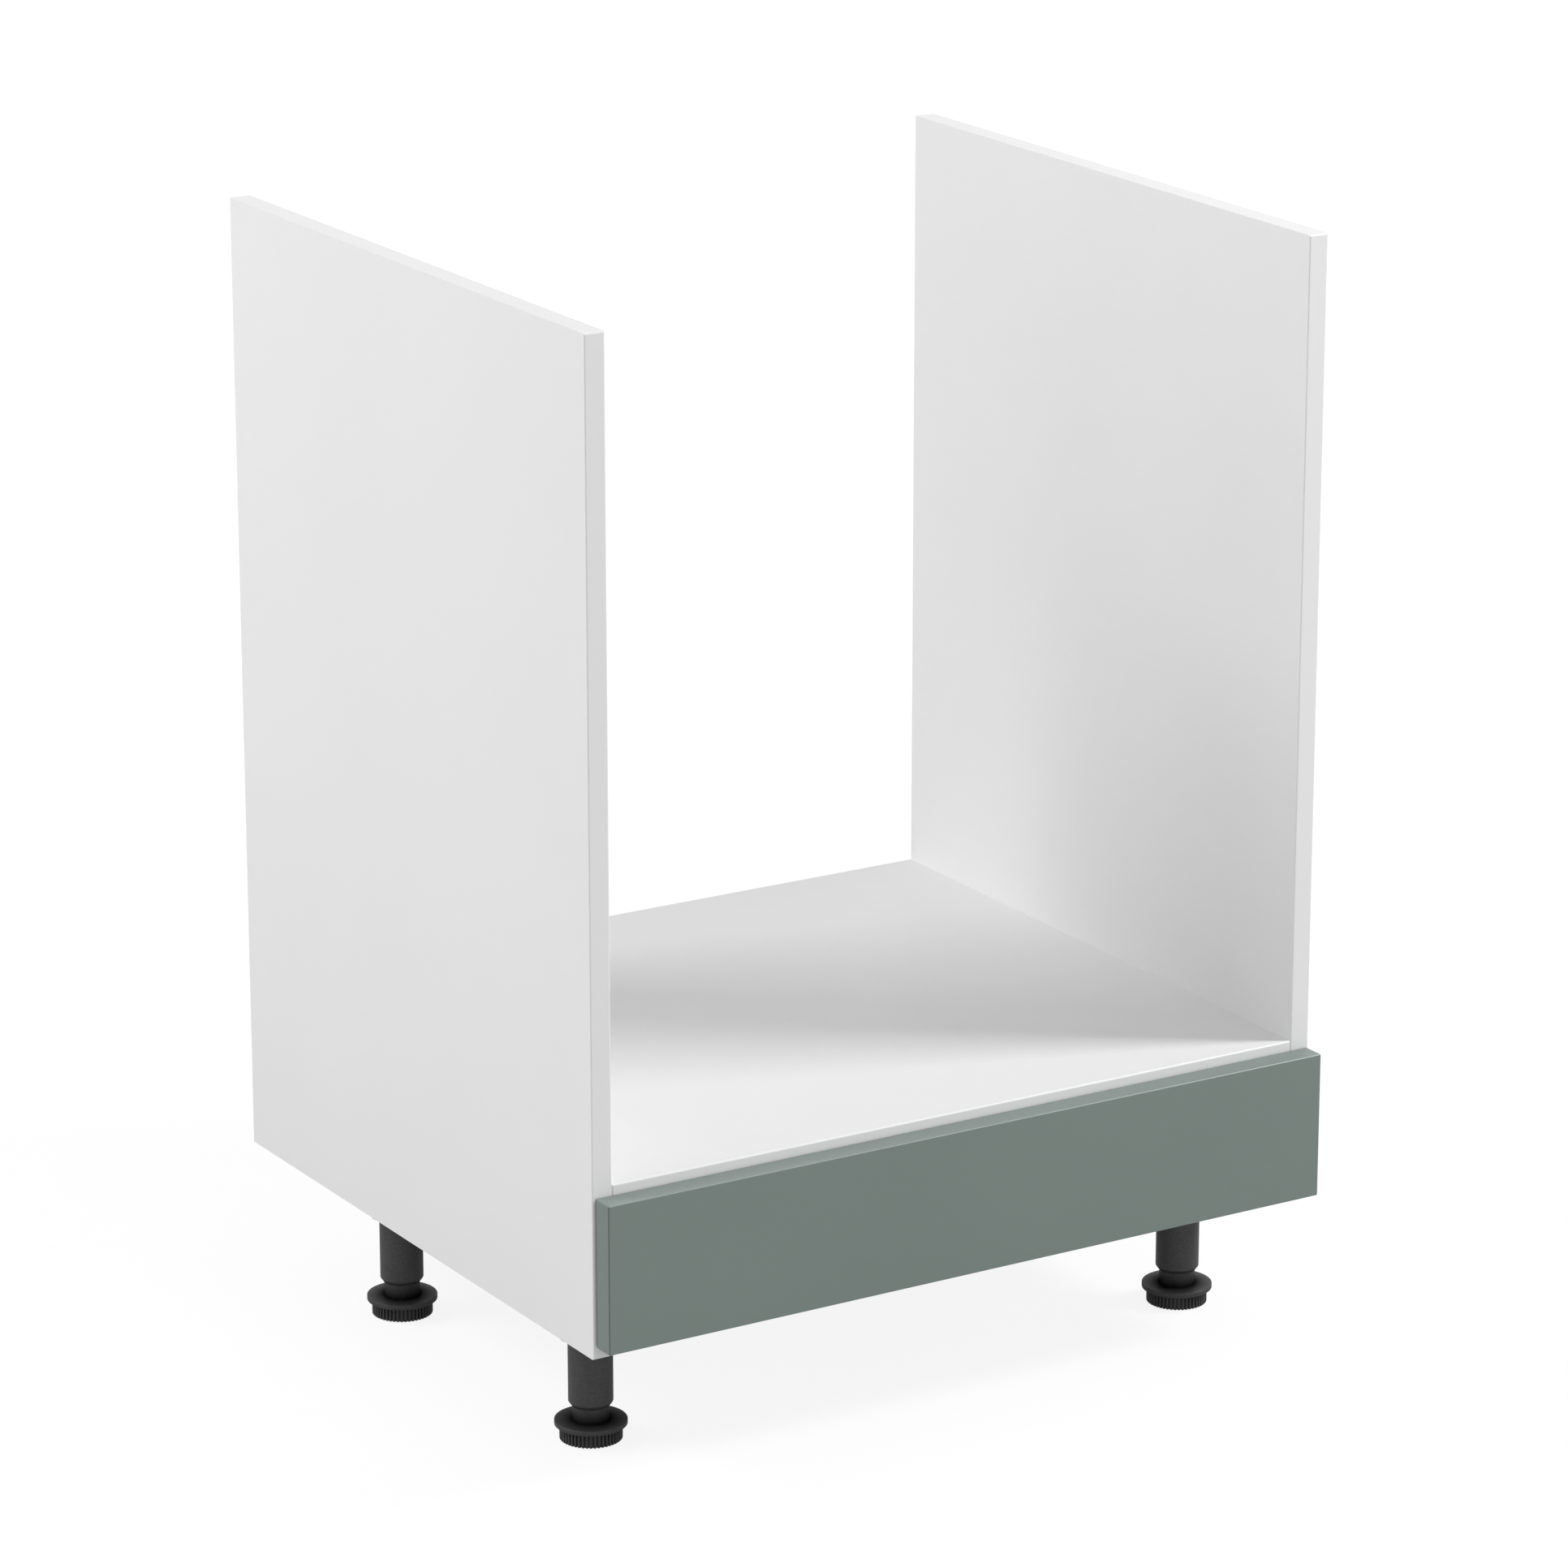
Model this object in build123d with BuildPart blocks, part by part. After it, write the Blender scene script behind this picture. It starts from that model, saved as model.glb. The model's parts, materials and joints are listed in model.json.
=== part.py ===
from build123d import *
import os
from math import cos, radians, sin, sqrt

# Oven base cabinet, 600 mm wide: two tall sides, an oven shelf, a shallow drawer on roller
# runners under the shelf, and four screw-adjusted legs. Millimetres.
# X runs to the right, Y to the back and Z up. The origin is on the floor, under the centre
# of the cabinet with its drawer front.

# Carcass
cabinet_width = 600
carcass_height = 720
carcass_depth = 510
leg_height = 100
board = 16
drawer_space = 93  # clear height under the oven shelf: it leaves 595 above for the oven
band = 2  # edge band thickness
band_round = 1.2
bottom_setback = 20  # finger room behind the drawer front's lower edge

# Drawer front
front_inset = 2  # from the sides' outer faces
front_up = 9  # over the sides' lower ends
front_board = 18
front_below_shelf = 7
front_gap = 1  # between the front and the carcass, held by the bumpers
front_round = 1

# Blind fittings: a bolt in one board is drawn in by a cam disc in the other
cam_diameter = 15
cam_depth = 12.5
cam_reach = 24  # board end to cam centre
cam_from_edge = 45
dowel_spacing = 32  # from a cam bolt to the dowel beside it
bolt_thread = 5
bolt_thread_length = 11
bolt_shank = 6.4
bolt_neck = 4
bolt_neck_length = 4
bolt_head = 7
bolt_head_length = 4
bolt_hole = 8
cam_slot_width = 1.6
cam_slot_depth = 2.5
dowel_diameter = 8
dowel_length = 30
dowel_in_side = 11
dowel_chamfer = 1
drill_past = 1  # a hole is this much deeper than what it holds
fit = 0.1  # radial clearance of a pushed or screwed fit

# Drawer box
drawer_back_room = 44  # behind the closed drawer
drawer_headroom = 14  # under the oven shelf
drawer_board = 16
drawer_overlap = 110  # length of runner that stays in the cabinet when the drawer is open
drawer_bottom_thickness = 3
groove_depth = 8
groove_up = 12  # from the drawer side's lower edge
groove_play = 0.2
drawer_cam_up = 45
drawer_dowel_up = 26
back_screw_up = 28  # the lower screw, over the drawer side's lower edge
back_screw_down = 14  # the upper screw, under its top edge
back_screw_length = 50
back_screw_head = 9.5
back_screw_shank = 7
back_screw_thread = 5
bottom_screw_count = 3
bottom_screw_length = 16
bottom_screw_thread = 3
bottom_screw_head = 7
bumper_diameter = 8
bumper_from_edge = 14
bumper_squeeze = 0.1  # what is left of the front gap

# Roller runners: sections are measured from the cabinet side inwards, and from the runner's base
runner_up = 5  # over the bottom panel
runner_space = 12.5  # between the cabinet side and the drawer side
runner_setback = 2
sheet = 1.2
bend = 1.6
track_clear = 0.9  # between the track's lip and the drawer profile
track_lip = 3.5
hood_short = 0.9  # how much less the hood reaches in than the track
flange_low = 3  # underside of the drawer profile
flange_under_drawer = 11.5
rail_clear = 1.8  # between the drawer profile's rail and the cabinet profile
rear_roller_diameter = 20
hood_over_roller = 0.7
front_roller_proud = 1  # over the cabinet profile
front_roller_under = 1.2  # between the front roller and the track
front_roller_back = 13  # from the cabinet profile's front end
rear_roller_front = 12  # from the drawer profile's rear end
roller_width = 5.2
roller_chamfer = 0.6
roller_hub = 7.2
roller_rim = 2.2  # thickness of the rim under the tread
roller_dish = 1.1  # depth of each face between hub and rim
front_roller_off = 1.2  # from the cabinet profile's web
rear_roller_off = 0.4  # from the track's lip
roller_run = 0.3  # between a roller and the steel it runs on
roller_side_play = 0.2
axle_diameter = 4
axle_play = 0.08
axle_shoulder = 6
axle_head = 7
axle_head_thickness = 0.8
hood_clear = 3  # from the front roller to where the hood starts
stop_radius = 2.5
stop_play = 0.4
runner_screw_first = 37  # from the cabinet profile's front end
runner_screw_last = 29  # from its rear end
drawer_screw_end = 50  # from either end of the drawer profile
profile_slot_width = 4.4  # oblong spare holes in the profiles
profile_slot_length = 9
profile_slot_back = 20  # from a screw to the spare hole behind it
runner_screw = 3.5
runner_screw_head = 7
runner_screw_head_thickness = 0.9
runner_screw_length = 12
drawer_screw_up = 6  # over the drawer side's lower edge

# Legs
leg_side_inset = 49
leg_front_inset = 90
leg_rear_inset = 140
plate_side = 64
plate_thickness = 3
plate_corner = 8
plate_screw_spacing = 48
plate_screw = 4
plate_screw_head = 8
plate_screw_length = 15
cup_diameter = 45
cup_wall = 2.2
cup_height = 22  # under the cabinet, with the plate
cup_rib_count = 8
cup_rib = 2
gusset_height = 11
gusset_thickness = 2.4
gusset_in = 0.5  # short of the plate's rim
tube_diameter = 32
tube_wall = 2.5
tube_land = 0.3  # flat that the chamfer leaves on the tube's lower end
tube_chamfer_height = 3
nut_length = 15
nut_clear = 2  # over the neck when the foot is screwed right in
stem_diameter = 20
stem_play = 0.15
stem_wall = 2.5
stem_spare = 3  # thread left over the nut when the foot is screwed right out
stem_cap = 4
neck_play = 0.3
neck_in_tube = 2
disc_diameter = 52
disc_thickness = 3.5
disc_round = 0.6
wheel_diameter = 44.8
wheel_rib_count = 48
wheel_rib = 1.5
wheel_rib_depth = 1.5
wheel_low = 0.8
wheel_top = 11.5
pad_diameter = 36
pad_thickness = 3
pad_play = 0.3
pad_lift = 0.2
pad_plug_height = 6
foot_up_travel = 8  # how far a foot screws in from its place here
foot_down_travel = 20
foot_stop_gap = 3  # left between disc and tube when the foot is screwed right in

# Places worked out from the sizes above
half_width = cabinet_width / 2
inner_half = half_width - board
overall_depth = carcass_depth + front_gap + front_board
carcass_front = front_board + front_gap - overall_depth / 2
carcass_back = overall_depth / 2
carcass_bottom = leg_height
carcass_top = carcass_bottom + carcass_height
bottom_top = carcass_bottom + board
bottom_front = carcass_front + bottom_setback
shelf_low = bottom_top + drawer_space
shelf_top = shelf_low + board
bottom_mid = carcass_bottom + board / 2
shelf_mid = shelf_top - board / 2
rail_mid = (bottom_top + shelf_low) / 2
rail_front = carcass_back - board
rail_y = carcass_back - board / 2
cam_rows = (carcass_front + cam_from_edge, carcass_back - cam_from_edge)
dowel_rows = (cam_rows[0] + dowel_spacing, cam_rows[1] - dowel_spacing)
rail_dowel_up = rail_mid + dowel_spacing

front_back_face = carcass_front - front_gap
front_top = shelf_top - front_below_shelf
front_low = carcass_bottom + front_up
front_half = half_width - front_inset

drawer_length = carcass_depth - board - drawer_back_room
runner_length = drawer_length
drawer_travel = runner_length - drawer_overlap
runner_height = 2 * sheet + roller_run + rear_roller_diameter + hood_over_roller
front_roller_diameter = runner_height + front_roller_proud - sheet - front_roller_under
track_width = runner_space - sheet - track_clear
hood_width = track_width - hood_short
front_roller_mid = sheet + front_roller_off + roller_width / 2
rear_roller_mid = track_width - sheet - rear_roller_off - roller_width / 2
runner_base = bottom_top + runner_up
runner_front = carcass_front + runner_setback
runner_mid = runner_base + runner_height / 2
front_roller_y = runner_front + front_roller_back
front_roller_z = runner_base + runner_height + front_roller_proud - front_roller_diameter / 2
rail_low = front_roller_z + front_roller_diameter / 2 + roller_run
drawer_profile_front = front_back_face + runner_setback
rear_roller_y = drawer_profile_front + runner_length - rear_roller_front
rear_roller_z = runner_base + sheet + roller_run + rear_roller_diameter / 2
drawer_half = inner_half - runner_space
drawer_inner_half = drawer_half - drawer_board
drawer_low = runner_base + flange_low + sheet
drawer_top = shelf_low - drawer_headroom
drawer_end = front_back_face + drawer_length
groove_low = drawer_low + groove_up
drawer_floor = groove_low + drawer_bottom_thickness
drawer_side_mid = drawer_half - drawer_board / 2
drawer_cam_y = front_back_face + cam_reach
drawer_screw_z = drawer_low + drawer_screw_up

leg_x = half_width - leg_side_inset
leg_places = {
    "front_left": (-leg_x, carcass_front + leg_front_inset),
    "front_right": (leg_x, carcass_front + leg_front_inset),
    "rear_left": (-leg_x, carcass_back - leg_rear_inset),
    "rear_right": (leg_x, carcass_back - leg_rear_inset),
}
plate_low = leg_height - plate_thickness
cup_low = leg_height - cup_height
tube_radius = tube_diameter / 2
tube_bore = tube_radius - tube_wall
wheel_root = wheel_diameter / 2 - wheel_rib_depth
stem_radius = stem_diameter / 2
disc_top = wheel_top + disc_thickness
tube_end = disc_top + foot_stop_gap + foot_up_travel
neck_top = tube_end + neck_in_tube
nut_low = neck_top + foot_up_travel + nut_clear
nut_top = nut_low + nut_length
stem_top = nut_top + foot_down_travel + stem_spare


def rectangle_between(corner, opposite):
    """Rectangle in the sketch being drawn, between two opposite corners."""
    middle = ((corner[0] + opposite[0]) / 2, (corner[1] + opposite[1]) / 2)
    with Locations(middle):
        Rectangle(abs(opposite[0] - corner[0]), abs(opposite[1] - corner[1]))


def drill(plane, points, diameter, depth):
    """Cut round holes into the part being built, along the plane's normal."""
    with BuildSketch(plane) as mouths:
        with Locations(*points):
            Circle(diameter / 2)
    extrude(mouths.sketch, amount=depth, mode=Mode.SUBTRACT)


def cut_spare_slots(plane, screw_points, depth):
    """Cut an oblong hole behind each screw of a runner profile, along the plane's normal."""
    with BuildSketch(plane) as mouths:
        with Locations(*[(y + profile_slot_back, z) for y, z in screw_points]):
            SlotOverall(profile_slot_length, profile_slot_width)
    extrude(mouths.sketch, amount=depth, mode=Mode.SUBTRACT)


def turned(plane, points, steps):
    """Add round stock along the plane's normal: each step is a diameter, a start and an end."""
    for diameter, start, end in steps:
        with BuildSketch(plane.offset(start)) as round_face:
            with Locations(*points):
                Circle(diameter / 2)
        extrude(round_face.sketch, amount=end - start)


def countersunk_head(plane, points, head, shank):
    """Add 90 degree cone heads that start at the plane and narrow along its normal."""
    with BuildSketch(plane) as rim:
        with Locations(*points):
            Circle(head / 2)
    extrude(rim.sketch, amount=(head - shank) / 2, taper=45)


def round_front_edges(radius):
    """Round the four edges of the foremost face of the part being built."""
    foremost = faces().sort_by(Axis.Y)[0]
    fillet(foremost.edges(), radius=radius)


def cam_bolt_steps():
    """Steps of a cam bolt, from the face of the board that it is screwed into."""
    head_start = cam_reach - bolt_head_length / 2
    neck_start = head_start - bolt_neck_length
    return (
        (bolt_thread, -bolt_thread_length, 0),
        (bolt_shank, 0, neck_start),
        (bolt_neck, neck_start, head_start),
        (bolt_head, head_start, head_start + bolt_head_length),
    )


def dowels_at(plane, points):
    """Add dowels with chamfered ends: they reach into both boards from the joint's face."""
    turned(plane, points, [(dowel_diameter, -dowel_in_side, dowel_length - dowel_in_side)])
    chamfer(edges().filter_by(GeomType.CIRCLE), length=dowel_chamfer)


def cross_slot(plane, points, size):
    """Cut a screwdriver's cross into the part being built, against the plane's normal."""
    with BuildSketch(plane) as cross:
        with Locations(*points):
            Rectangle(size, cam_slot_width)
            Rectangle(cam_slot_width, size)
    extrude(cross.sketch, amount=-cam_slot_depth, mode=Mode.SUBTRACT)


def cam_discs_at(plane, points):
    """Add cam discs that stand in their holes, with faces level with the plane."""
    with BuildSketch(plane) as discs:
        with Locations(*points):
            Circle(cam_diameter / 2 - fit)
    extrude(discs.sketch, amount=-(cam_depth - fit))
    cross_slot(plane, points, cam_diameter / 2)


def three_places(first, last):
    """Both ends and the middle of a row of three."""
    return (first, (first + last) / 2, last)


def facing_back(y):
    """Upright plane that looks towards the back: its second axis runs up."""
    return Plane((0, y, 0), x_dir=(-1, 0, 0), z_dir=(0, 1, 0))


def facing_down(z):
    """Level plane that looks down: its second axis runs to the back."""
    return Plane((0, 0, z), x_dir=(-1, 0, 0), z_dir=(0, 0, -1))


def save(piece, name):
    """Label one finished piece and write its file."""
    piece.part.label = name
    export_step(piece.part, f"parts/{name}.step")


os.makedirs("parts", exist_ok=True)

# Where the fittings stand on a side's inner face, as depth and height
cam_points = [(y, z) for z in (bottom_mid, shelf_mid) for y in cam_rows] + [(rail_y, rail_mid)]
dowel_points = [(y, z) for z in (bottom_mid, shelf_mid) for y in dowel_rows]
dowel_points.append((rail_y, rail_dowel_up))
runner_screw_rows = three_places(
    runner_front + runner_screw_first, runner_front + runner_length - runner_screw_last
)
runner_screw_points = [(row, runner_mid) for row in runner_screw_rows]
left_face = Plane.YZ.offset(-inner_half)

# Left side: its fittings are all blind, so the outer face stays whole
with BuildPart() as side_left:
    with BuildSketch(Plane.YZ.offset(-half_width)):
        rectangle_between((carcass_front + band, carcass_bottom), (carcass_back, carcass_top))
    extrude(amount=board)
    drill(left_face, cam_points, bolt_thread + 2 * fit, -(bolt_thread_length + drill_past))
    drill(left_face, dowel_points, dowel_diameter + 2 * fit, -(dowel_in_side + drill_past))
    drill(
        left_face,
        runner_screw_points,
        runner_screw + 2 * fit,
        -(runner_screw_length + drill_past - sheet),
    )
save(side_left, "side_panel_left")

with BuildPart() as side_right:
    mirror(side_left.part, about=Plane.YZ)
save(side_right, "side_panel_right")

# Edge bands: glued strips with rounded front edges
with BuildPart() as band_side_left:
    with BuildSketch(Plane.XY.offset(carcass_bottom)):
        rectangle_between((-half_width, carcass_front), (-inner_half, carcass_front + band))
    extrude(amount=carcass_height)
    round_front_edges(band_round)
save(band_side_left, "edge_band_side_left")

with BuildPart() as band_side_right:
    mirror(band_side_left.part, about=Plane.YZ)
save(band_side_right, "edge_band_side_right")

with BuildPart() as band_shelf:
    with BuildSketch(Plane.XY.offset(shelf_low)):
        rectangle_between((-inner_half, carcass_front), (inner_half, carcass_front + band))
    extrude(amount=board)
    round_front_edges(band_round)
save(band_shelf, "edge_band_shelf")

with BuildPart() as band_bottom:
    with BuildSketch(Plane.XY.offset(carcass_bottom)):
        rectangle_between((-inner_half, bottom_front), (inner_half, bottom_front + band))
    extrude(amount=board)
    round_front_edges(band_round)
save(band_bottom, "edge_band_bottom")


def bore_board_ends(mid_height, bolt_rows, pin_rows):
    """Bolt and dowel holes in both ends of the level board being built."""
    for end in (-1, 1):
        face = Plane.YZ.offset(end * inner_half)
        bolt_centres = [(row, mid_height) for row in bolt_rows]
        pin_centres = [(row, mid_height) for row in pin_rows]
        drill(face, bolt_centres, bolt_hole, -end * cam_reach)
        depth = dowel_length - dowel_in_side + drill_past
        drill(face, pin_centres, dowel_diameter + 2 * fit, -end * depth)


# The level boards take their cams on the faces that look into the drawer space
level_cam_points = [(end * (inner_half - cam_reach), row) for end in (-1, 1) for row in cam_rows]
screw_offset = plate_screw_spacing / 2
plate_screw_points = [
    (x + across * screw_offset, y + along * screw_offset)
    for x, y in leg_places.values()
    for across in (-1, 1)
    for along in (-1, 1)
]

with BuildPart() as bottom_panel:
    with BuildSketch(Plane.XY.offset(carcass_bottom)):
        rectangle_between((-inner_half, bottom_front + band), (inner_half, carcass_back))
    extrude(amount=board)
    drill(Plane.XY.offset(bottom_top), level_cam_points, cam_diameter, -cam_depth)
    bore_board_ends(bottom_mid, cam_rows, dowel_rows)
    drill(
        Plane.XY.offset(carcass_bottom),
        plate_screw_points,
        plate_screw + 2 * fit,
        plate_screw_length - plate_thickness + drill_past,
    )
save(bottom_panel, "bottom_panel")

with BuildPart() as oven_shelf:
    with BuildSketch(Plane.XY.offset(shelf_low)):
        rectangle_between((-inner_half, carcass_front + band), (inner_half, carcass_back))
    extrude(amount=board)
    drill(Plane.XY.offset(shelf_low), level_cam_points, cam_diameter, cam_depth)
    bore_board_ends(shelf_mid, cam_rows, dowel_rows)
save(oven_shelf, "oven_shelf")

# Rear rail: stands between the two level boards, with its cams at the back
rail_cam_points = [(end * (inner_half - cam_reach), rail_mid) for end in (-1, 1)]
with BuildPart() as rear_rail:
    with BuildSketch(Plane.XZ.offset(-rail_front)):
        rectangle_between((-inner_half, bottom_top), (inner_half, shelf_low))
    extrude(amount=-board)
    drill(Plane.XZ.offset(-carcass_back), rail_cam_points, cam_diameter, cam_depth)
    for end in (-1, 1):
        end_face = Plane.YZ.offset(end * inner_half)
        drill(end_face, [(rail_y, rail_mid)], bolt_hole, -end * cam_reach)
        rail_dowel_depth = dowel_length - dowel_in_side + drill_past
        rail_dowel_hole = dowel_diameter + 2 * fit
        drill(end_face, [(rail_y, rail_dowel_up)], rail_dowel_hole, -end * rail_dowel_depth)
save(rear_rail, "rear_rail")

# Carcass fittings, each node a group of like pieces
with BuildPart() as carcass_cam_bolts:
    turned(left_face, cam_points, cam_bolt_steps())
    mirror(about=Plane.YZ)
save(carcass_cam_bolts, "carcass_cam_bolts")

with BuildPart() as carcass_dowels:
    dowels_at(left_face, dowel_points)
    mirror(about=Plane.YZ)
save(carcass_dowels, "carcass_dowels")

cam_cavity = cam_reach + bolt_head_length
with BuildPart() as carcass_cam_discs:
    cam_discs_at(Plane.XY.offset(bottom_top), level_cam_points)
    cam_discs_at(facing_down(shelf_low), level_cam_points)
    cam_discs_at(facing_back(carcass_back), rail_cam_points)
    for end in (-1, 1):
        drill(Plane.YZ.offset(end * inner_half), cam_points, bolt_hole, -end * cam_cavity)
save(carcass_cam_discs, "carcass_cam_discs")

# Drawer front: a painted board with all its edges rounded
front_bolt_points = [(end * drawer_side_mid, drawer_low + drawer_cam_up) for end in (-1, 1)]
front_dowel_points = [(end * drawer_side_mid, drawer_low + drawer_dowel_up) for end in (-1, 1)]
front_back_plane = Plane.XZ.offset(-front_back_face)
with BuildPart() as drawer_front:
    with BuildSketch(front_back_plane):
        rectangle_between((-front_half, front_low), (front_half, front_top))
    extrude(amount=front_board)
    fillet(edges(), radius=front_round)
    with BuildSketch(front_back_plane):
        groove_half = drawer_inner_half + groove_depth
        groove_high = drawer_floor + groove_play
        rectangle_between((-groove_half, groove_low), (groove_half, groove_high))
    extrude(amount=groove_depth, mode=Mode.SUBTRACT)
    drill(front_back_plane, front_bolt_points, bolt_thread + 2 * fit, bolt_thread_length + drill_past)
    drill(front_back_plane, front_dowel_points, dowel_diameter + 2 * fit, dowel_in_side + drill_past)
save(drawer_front, "drawer_front")

# Drawer side: grooved for the bottom, drilled for the front's fittings, the back and the runner
drawer_left_outer = Plane.YZ.offset(-drawer_half)
drawer_left_inner = Plane.YZ.offset(-drawer_inner_half)
back_screw_rows = (drawer_low + back_screw_up, drawer_top - back_screw_down)
back_screw_points = [(drawer_end - drawer_board / 2, row) for row in back_screw_rows]
drawer_screw_rows = three_places(
    drawer_profile_front + drawer_screw_end, drawer_profile_front + runner_length - drawer_screw_end
)
drawer_screw_points = [(row, drawer_screw_z) for row in drawer_screw_rows]
left_bolt_point = [(-drawer_side_mid, drawer_low + drawer_cam_up)]
left_dowel_point = [(-drawer_side_mid, drawer_low + drawer_dowel_up)]
left_cam_point = [(drawer_cam_y, drawer_low + drawer_cam_up)]
back_screw_taper = (back_screw_head - back_screw_shank) / 2
with BuildPart() as drawer_side_left:
    with BuildSketch(drawer_left_outer):
        rectangle_between((front_back_face, drawer_low), (drawer_end, drawer_top))
    extrude(amount=drawer_board)
    lowest = edges().filter_by(Axis.Y).group_by(Axis.Z)[0]
    chamfer(lowest.sort_by(Axis.X)[0], length=bend)
    with BuildSketch(drawer_left_inner):
        rectangle_between((front_back_face, groove_low), (drawer_end, drawer_floor + groove_play))
    extrude(amount=-groove_depth, mode=Mode.SUBTRACT)
    drill(drawer_left_inner, left_cam_point, cam_diameter, -cam_depth)
    drill(front_back_plane, left_bolt_point, bolt_hole, -cam_reach)
    left_dowel_depth = dowel_length - dowel_in_side + drill_past
    drill(front_back_plane, left_dowel_point, dowel_diameter + 2 * fit, -left_dowel_depth)
    drill(drawer_left_outer, back_screw_points, back_screw_shank + 2 * fit, drawer_board)
    drill(drawer_left_outer, back_screw_points, back_screw_head + 2 * fit, back_screw_taper + fit)
    drill(drawer_left_outer, drawer_screw_points, runner_screw + 2 * fit, runner_screw_length)
save(drawer_side_left, "drawer_side_left")

with BuildPart() as drawer_side_right:
    mirror(drawer_side_left.part, about=Plane.YZ)
save(drawer_side_right, "drawer_side_right")

back_pilot_depth = back_screw_length - drawer_board + drill_past
bottom_screw_spread = 2 * drawer_inner_half / bottom_screw_count
bottom_screw_points = [
    (bottom_screw_spread * (number - (bottom_screw_count - 1) / 2), drawer_end - drawer_board / 2)
    for number in range(bottom_screw_count)
]
with BuildPart() as drawer_back:
    with BuildSketch(Plane.XY.offset(drawer_floor)):
        back_corner = (-drawer_inner_half, drawer_end - drawer_board)
        rectangle_between(back_corner, (drawer_inner_half, drawer_end))
    extrude(amount=drawer_top - drawer_floor)
    for end in (-1, 1):
        back_end = Plane.YZ.offset(end * drawer_inner_half)
        drill(back_end, back_screw_points, back_screw_thread + 2 * fit, -end * back_pilot_depth)
    drill(
        Plane.XY.offset(drawer_floor),
        bottom_screw_points,
        bottom_screw_thread + 2 * fit,
        bottom_screw_length,
    )
save(drawer_back, "drawer_back")

with BuildPart() as drawer_bottom:
    with BuildSketch(Plane.XY.offset(groove_low)):
        panel_half = drawer_inner_half + groove_depth - groove_play
        panel_front = front_back_face - groove_depth + groove_play
        rectangle_between((-panel_half, panel_front), (panel_half, drawer_end))
    extrude(amount=drawer_bottom_thickness)
    drill(
        Plane.XY.offset(groove_low),
        bottom_screw_points,
        bottom_screw_thread + 2 * fit,
        drawer_bottom_thickness,
    )
save(drawer_bottom, "drawer_bottom")

# Drawer fittings
with BuildPart() as drawer_cam_bolts:
    turned(facing_back(front_back_face), front_bolt_points, cam_bolt_steps())
save(drawer_cam_bolts, "drawer_cam_bolts")

with BuildPart() as drawer_dowels:
    dowels_at(facing_back(front_back_face), front_dowel_points)
save(drawer_dowels, "drawer_dowels")

with BuildPart() as drawer_cam_discs:
    cam_discs_at(drawer_left_inner, left_cam_point)
    drill(front_back_plane, left_bolt_point, bolt_hole, -cam_cavity)
    mirror(about=Plane.YZ)
save(drawer_cam_discs, "drawer_cam_discs")

with BuildPart() as drawer_back_screws:
    countersunk_head(drawer_left_outer, back_screw_points, back_screw_head, back_screw_shank)
    turned(
        drawer_left_outer,
        back_screw_points,
        (
            (back_screw_shank, back_screw_taper, drawer_board),
            (back_screw_thread, drawer_board, back_screw_length),
        ),
    )
    mirror(about=Plane.YZ)
save(drawer_back_screws, "drawer_back_screws")

with BuildPart() as drawer_bottom_screws:
    head_low = -runner_screw_head_thickness
    turned(
        Plane.XY.offset(groove_low),
        bottom_screw_points,
        ((bottom_screw_head, head_low, 0), (bottom_screw_thread, 0, bottom_screw_length)),
    )
save(drawer_bottom_screws, "drawer_bottom_screws")

bumper_points = [
    (end * (half_width - board / 2), height)
    for end in (-1, 1)
    for height in (front_low + bumper_from_edge, front_top - bumper_from_edge)
]
with BuildPart() as drawer_bumpers:
    with BuildSketch(front_back_plane):
        with Locations(*bumper_points):
            Circle(bumper_diameter / 2)
    extrude(amount=-(front_gap - bumper_squeeze))
save(drawer_bumpers, "drawer_bumpers")


def sheet_profile(start, path):
    """Bend a strip of sheet along a path of section points, over the runner's whole length.

    The points are the strip's middle line: distance in from the cabinet side, and height over
    the runner's base."""
    section = [(into - inner_half, runner_base + up) for into, up in path]
    with BuildSketch(Plane.XZ.offset(-start)) as profile:
        with BuildLine():
            FilletPolyline(*section, radius=bend)
        trace(line_width=sheet)
    extrude(profile.sketch, amount=-runner_length)


half_sheet = sheet / 2
stop_run = rear_roller_diameter / 2 + roller_run
stop_reach = sqrt((rear_roller_diameter / 2 + stop_radius) ** 2 - stop_run**2)
stop_y = rear_roller_y - drawer_travel - stop_reach - stop_play
hood_start = front_roller_y + front_roller_diameter / 2 + hood_clear
track_top = runner_base + sheet

# Cabinet profile: a track with a lip, and a hood that keeps the rear roller down. The hood is
# cut away over the front roller. A pressed ridge on the track stops the open drawer.
with BuildPart() as cabinet_runner_left:
    sheet_profile(
        runner_front,
        (
            (track_width - half_sheet, track_lip),
            (track_width - half_sheet, half_sheet),
            (half_sheet, half_sheet),
            (half_sheet, runner_height - half_sheet),
            (hood_width, runner_height - half_sheet),
        ),
    )
    with BuildSketch(Plane.XY.offset(runner_base + runner_height)):
        hood_root = (sheet - inner_half, runner_front)
        rectangle_between(hood_root, (hood_width - inner_half, hood_start))
    extrude(amount=-(sheet + bend), mode=Mode.SUBTRACT)
    with BuildSketch(left_face.offset(sheet)) as ridge:
        with Locations((stop_y, track_top)):
            Circle(stop_radius)
        with Locations((stop_y, track_top - half_sheet)):
            Rectangle(2 * stop_radius, 2 * stop_radius, align=(Align.CENTER, Align.MAX), mode=Mode.SUBTRACT)
    extrude(ridge.sketch, amount=track_width - 2 * sheet)
    drill(left_face, runner_screw_points, runner_screw + 2 * fit, sheet)
    cut_spare_slots(left_face, runner_screw_points, sheet)
    drill(left_face, [(front_roller_y, front_roller_z)], axle_diameter, sheet)
save(cabinet_runner_left, "cabinet_runner_left")

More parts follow.
